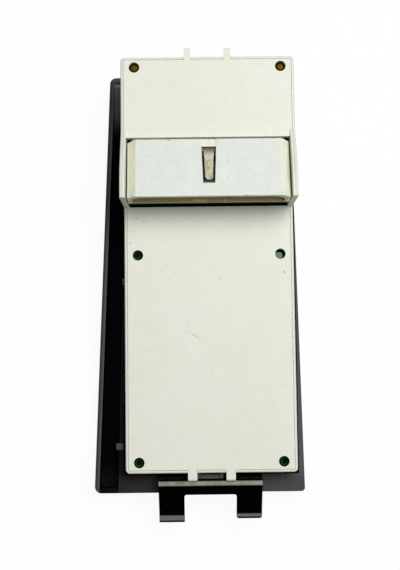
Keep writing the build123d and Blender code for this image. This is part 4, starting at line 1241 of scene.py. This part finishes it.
@dataclass
class Connector:
    """The white header, its latch tongue and its terminals.

    The tongue lies parallel to the header's face, which rises to the mouth.
    """

    mouth: Place = (0.0, 25.0 * MM, 49.5 * MM)
    face_fall: float = FACE_FALL
    tongue_middle: float = 0.2 * MM
    tongue_ends: Ends = (32.4 * MM, 44.7 * MM)
    tongue_halves: Ends = (1.5 * MM, 2.05 * MM)
    tongue_sink: float = 1.0 * MM
    tongue_thickness: float = 1.2 * MM
    tip_round: float = 1.0 * MM
    end_round: float = 0.25 * MM
    corner_power: float = 7.0
    relief: float = 0.09 * MM
    pit_seed: int = 11
    pit_smoothings: int = 3
    pit_limits: Ends = (-1, 1.5)
    rings: int = 90
    around: int = 96
    white: HeaderPlastic = field(default_factory=lambda: HeaderPlastic(
        "white_connector", srgb(225, 231, 222), roughness=0.4, grain_contrast=0.36, grain_size=1.0 * MM,
        edge_strength=0.2, cloud_contrast=0.03, cloud_tint=srgb(222, 222, 205), occlusion_shade_colour=srgb(40, 38, 24),
        occlusion_shade_strength=0.3, occlusion_shade_reach=1.0 * MM,
        marks=(Mark((7.8, 39.8, 45.6), (0.45, 0.75, 2.0), 10.0, 0.3),)
        + marks_at(49.1, 1.0, ((29.2, 26.4, 0.3, 0.3, 0.0, 0.7),))
        + marks_at(49.4, 1.0, ((14.6, 25.2, 1.3, 0.3, 0.0, 0.55), (17.4, 25.2, 0.5, 0.25, 0.0, 0.5)))
        + marks_at(43.1, 1.0, ((-16.0, 49.4, 0.8, 0.3, 0.0, 0.5), (-25.6, 49.5, 0.5, 0.2, 0.0, 0.4))),
    ))
    beige: RoughTongue = field(default_factory=lambda: RoughTongue(
        "beige_tongue", srgb(205, 205, 180), roughness=0.65, grain_contrast=0.4, grain_depth=0.05 * MM,
        grain_size=0.4 * MM, speck_share=0.15, speck_spacing=1.2 * MM, edge_colour=srgb(228, 225, 206),
        occlusion_shade_colour=srgb(84, 74, 46), occlusion_shade_strength=0.6,
    ))
    tin: SheetMetal = field(default_factory=lambda: SheetMetal("tinned_terminals", srgb(120, 118, 112)))

    def tongue_rings(self) -> np.ndarray:
        """Works out the tongue's surface.

        Each ring is a rounded rectangle: half width and half thickness times cos and sin of the
        turn, each to the power 2 / corner_power with its sign kept. Along the tongue the half
        width grows in a straight line from tip to root, less the circle that rounds the tip, and
        the ends shrink by a quarter circle. Smoothed random pits sink the upper side.

        Returns:
            Points in metres, as (rings, points in a ring, 3).
        """
        share = np.linspace(0.0, 1.0, self.rings)[:, None]
        share = 0.5 - 0.5 * np.cos(np.pi * share)
        turn = np.linspace(0.0, 2 * np.pi, self.around, endpoint=False)[None, :]
        y = self.tongue_ends[0] + (self.tongue_ends[1] - self.tongue_ends[0]) * share
        from_tip = y - self.tongue_ends[0]
        to_root = self.tongue_ends[1] - y
        cut = np.clip(1 - from_tip / self.tip_round, 0, 1)
        half = self.tongue_halves[0] + (self.tongue_halves[1] - self.tongue_halves[0]) * share
        half = half - self.tip_round * (1 - np.sqrt(1 - cut ** 2))
        nearest = np.clip(1 - np.minimum(from_tip, to_root) / self.end_round, 0, 1)
        thick = self.tongue_thickness / 2 - self.end_round * (1 - np.sqrt(1 - nearest ** 2))
        power = 2 / self.corner_power
        x = self.tongue_middle + half * np.sign(np.cos(turn)) * np.abs(np.cos(turn)) ** power
        up = thick * np.sign(np.sin(turn)) * np.abs(np.sin(turn)) ** power
        pits = np.random.default_rng(self.pit_seed).random((self.rings, self.around))
        for _ in range(self.pit_smoothings):
            along = np.roll(pits, 1, 0) + np.roll(pits, -1, 0)
            pits = (pits + along + np.roll(pits, 1, 1) + np.roll(pits, -1, 1)) / 5
        pits = np.clip((pits - pits.mean()) / pits.std(), *self.pit_limits)
        upper = np.clip(np.sin(turn), 0, 1)
        face = self.mouth[2] - self.face_fall * (y - self.mouth[1])
        level = face - self.tongue_sink - self.tongue_thickness / 2
        z = level + up - self.relief * upper * np.clip(pits, 0, None)
        return np.stack([x, np.broadcast_to(y, x.shape), z], axis=-1)

    def build(self) -> None:
        """Dresses the connector's pieces and makes the tongue."""
        dress(self.white, "connector_header")
        mesh = ring_mesh("rough_latch_tongue", [self.tongue_rings()])
        place_piece(mesh, self.beige.material(), "housing", "latch_tongue")
        dress(self.tin, "terminal_pins")


@dataclass
class Board:
    """The printed board and the parts soldered to it."""

    green: BoardPlastic = field(default_factory=lambda: BoardPlastic(
        "green_board", srgb(0, 32, 5), holes=((-29.9, 5.3), (-29.7, -80.2), (29.8, -80.2)), roughness=0.35,
        specular=0.0, grain_contrast=0.5, grain_size=0.6 * MM, cloud_tint=srgb(3, 44, 12), cloud_size=2 * MM,
        cloud_contrast=0.12, edge_colour=srgb(60, 80, 40), speck_colour=srgb(60, 70, 40),
        scratch_colour=srgb(20, 60, 30), occlusion_shade_colour=srgb(0, 0, 0), occlusion_shade_reach=3 * MM, occlusion_shade_strength=0.8,
    ))
    film: MouldedPlastic = field(default_factory=lambda: MouldedPlastic(
        "pale_green_film", srgb(90, 125, 97), roughness=0.3, specular=0.05, grain_contrast=0.1,
        occlusion_shade_colour=srgb(10, 16, 10), occlusion_shade_reach=1.2 * MM, occlusion_shade_strength=0.7,
    ))
    black: MouldedPlastic = field(default_factory=lambda: MouldedPlastic(
        "relay_black", srgb(20, 20, 21), roughness=0.45, specular=0.2, edge_colour=srgb(70, 70, 72),
        edge_strength=0.3, occlusion_shade_colour=srgb(4, 4, 4), cloud_tint=srgb(34, 34, 34),
    ))
    chip: MouldedPlastic = field(default_factory=lambda: MouldedPlastic(
        "chip_black", srgb(16, 16, 18), roughness=0.55, specular=0.2, edge_colour=srgb(60, 60, 62),
        edge_strength=0.3, occlusion_shade_colour=srgb(4, 4, 4), cloud_tint=srgb(30, 30, 30),
    ))
    brass: SheetMetal = field(default_factory=lambda: SheetMetal(
        "brass_parts", srgb(63, 52, 5), roughness=0.4, metallic=0.6, specular=0.02,
        line_scale=(900.0, 900.0, 900.0), blotch_colour=srgb(44, 35, 3), blotch_share=0.5,
        edge_colour=srgb(76, 66, 14), edge_strength=0.3,
    ))
    copper: SheetMetal = field(default_factory=lambda: SheetMetal("copper_pads", srgb(150, 96, 62)))

    def build(self) -> None:
        """Dresses the board's pieces."""
        dress(self.green, "circuit_board")
        dress(self.film, "film_capacitor")
        dress(self.black, "relays", "lockout_switch")
        dress(self.chip, "control_chip")
        dress(self.brass, "brass_standoffs", *nodes_named("contact_wiper"))
        dress(self.copper, "contact_pads")


@dataclass
class Controls:
    """The window levers, the rocker, the button and their rocking contacts."""

    black: MouldedPlastic = field(default_factory=lambda: MouldedPlastic(
        "lever_black", srgb(24, 24, 26), roughness=0.4, specular=0.25, grain_contrast=0.12,
        grain_size=0.3 * MM, edge_colour=srgb(80, 80, 82), edge_strength=0.3, speck_colour=srgb(90, 88, 84),
        cloud_tint=srgb(40, 40, 40), scratch_colour=srgb(60, 60, 62), occlusion_shade_colour=srgb(6, 6, 6),
    ))
    white: MouldedPlastic = field(default_factory=lambda: MouldedPlastic(
        "contact_white", srgb(222, 222, 214), roughness=0.4,
    ))

    def build(self) -> None:
        """Dresses what the fingers touch and what it moves."""
        dress(self.black, "door_lock_rocker", "lockout_button", *nodes_named("window_lever"))
        dress(self.white, *nodes_named("contact_rocker"))


@dataclass
class Clip:
    """The spring clip at the bottom end and the two domed rivets that hold it."""

    wall: float = -84.4 * MM
    sheet: float = 0.8 * MM
    rivet_x: Ends = (-16.6 * MM, 15.4 * MM)
    rivet_level: float = 16.5 * MM
    head_radius: float = 2.2 * MM
    head_height: float = 0.7 * MM
    shank_radius: float = 1.4 * MM
    shank_end: float = 2.0 * MM
    crown_angles: Ends = (6.0, 90.0)
    crown_rings: int = 14
    around: int = 48
    spring: BlackenedSpring = field(default_factory=BlackenedSpring)
    rivet: SheetMetal = field(default_factory=lambda: SheetMetal("rivet_steel", srgb(70, 68, 64)))

    def rivet_rings(self, x: float) -> np.ndarray:
        """Works out one rivet's surface of revolution about a line along Y.

        The head is a quarter ellipse: radius head_radius times sin and height head_height times
        cos of the angle from its crown. The shank follows at its own radius.

        Args:
            x: The rivet's place across the clip.

        Returns:
            Points in metres, as (rings, points in a ring, 3).
        """
        angle = np.radians(np.linspace(*self.crown_angles, self.crown_rings))
        seat = self.wall - self.sheet
        radius = np.concatenate([self.head_radius * np.sin(angle), [self.shank_radius] * 2])
        y = np.concatenate([seat - self.head_height * np.cos(angle), [seat, self.wall + self.shank_end]])
        turn = np.linspace(0.0, 2 * np.pi, self.around, endpoint=False)[None, :]
        across = x + radius[:, None] * np.cos(turn)
        up = self.rivet_level - radius[:, None] * np.sin(turn)
        return np.stack([across, np.broadcast_to(y[:, None], across.shape), up], axis=-1)

    def build(self) -> None:
        """Dresses the clip and makes its rivets."""
        dress(self.spring, "spring_clip")
        mesh = ring_mesh("domed_rivets", [self.rivet_rings(x) for x in self.rivet_x])
        place_piece(mesh, self.rivet.material(), "housing", "clip_rivets")


# ------------------------------------------------------------------ surroundings
@dataclass
class Studio:
    """A white floor, one softbox and the camera above the back of the switch."""

    floor_half: float = 1.5
    floor_grey: float = 0.30
    shadow_share: float = 0.07
    white: Colour = (1.0, 1.0, 1.0)
    world_strength: float = 0.12
    key_power: float = 9.9
    key_size: float = 0.62
    key_place: Place = (0.25, 0.21, 1.0)
    camera_sensor: float = 36.0
    camera_lens: float = 75.16
    camera_near: float = 0.01
    camera_place: Place = (-0.005081, -0.058843, 0.513898)
    camera_turns: Place = (5.982, -0.136, -0.675)

    def build(self) -> None:
        """Makes the floor, the light and the camera."""
        self.floor()
        self.world()
        self.softbox()
        self.camera()

    def seen(self, graph: Graph) -> Socket:
        """Mask of the rays to which the surroundings are white.

        Args:
            graph: The graph of the floor or the world.

        Returns:
            1 for rays from the camera, in gloss and through glass, otherwise 0.
        """
        path = graph.add("ShaderNodeLightPath")
        either = graph.maths("MAXIMUM", path.outputs["Is Camera Ray"], path.outputs["Is Glossy Ray"])
        return graph.maths("MAXIMUM", either, path.outputs["Is Transmission Ray"])

    def floor(self) -> None:
        """Makes a plain floor, white to the camera and in gloss, that keeps the shadow."""
        half = self.floor_half
        mesh = bpy.data.meshes.new("floor")
        corners = [(-half, -half, 0), (half, -half, 0), (half, half, 0), (-half, half, 0)]
        mesh.from_pydata(corners, [], [(0, 1, 2, 3)])
        material = bpy.data.materials.new("floor_white")
        graph = blank_graph(material)
        seen = self.seen(graph)
        matt = graph.add("ShaderNodeBsdfDiffuse", Color=graph.mix(seen, (self.floor_grey,) * 3, self.white))
        glow = graph.add("ShaderNodeEmission", Color=self.white, Strength=1.0)
        share = graph.maths("MULTIPLY", seen, 1.0 - self.shadow_share)
        both = graph.add("ShaderNodeMixShader", in0=share, in1=matt.outputs[0], in2=glow.outputs[0])
        graph.add("ShaderNodeOutputMaterial", Surface=both.outputs[0])
        mesh.materials.append(material)
        add_object("floor", mesh)

    def world(self) -> None:
        """Makes even light from all round, white to the camera and in gloss."""
        world = bpy.data.worlds.new("studio")
        bpy.context.scene.world = world
        graph = blank_graph(world)
        strength = graph.add("ShaderNodeMix", {"data_type": "FLOAT"},
                             in0=self.seen(graph), in2=self.world_strength, in3=1.0)
        sky = graph.add("ShaderNodeBackground", Color=self.white, Strength=strength.outputs[0])
        graph.add("ShaderNodeOutputWorld", Surface=sky.outputs[0])

    def softbox(self) -> None:
        """Makes the square softbox, which points at the middle of the switch."""
        data = bpy.data.lights.new("key_softbox", "AREA")
        data.shape = "SQUARE"
        data.size = self.key_size
        data.energy = self.key_power
        lamp = add_object("key_softbox", data)
        lamp.location = self.key_place
        lamp.rotation_euler = Vector(self.key_place).to_track_quat("Z", "Y").to_euler()

    def camera(self) -> None:
        """Makes the camera, which looks down on the back from a little towards the clip end."""
        data = bpy.data.cameras.new("camera")
        data.sensor_width = self.camera_sensor
        data.lens = self.camera_lens
        data.clip_start = self.camera_near
        camera = add_object("camera", data)
        pitch, yaw, roll = (
            Matrix.Rotation(math.radians(turn), 4, axis) for turn, axis in zip(self.camera_turns, "XYZ")
        )
        camera.matrix_world = Matrix.Translation(self.camera_place) @ (pitch @ yaw @ roll)
        bpy.context.scene.camera = camera


def main() -> None:
    """Builds the surroundings and dresses each sub-assembly in turn."""
    logging.basicConfig(level=logging.INFO, format="%(name)s: %(message)s")
    bpy.context.scene.view_settings.view_transform = "Standard"
    SurfaceEffects().build()
    for part in (Studio(), Housing(), Connector(), Board(), Controls(), Clip()):
        part.build()
        LOG.info("%s done", type(part).__name__)


if __name__ == "__main__":
    main()
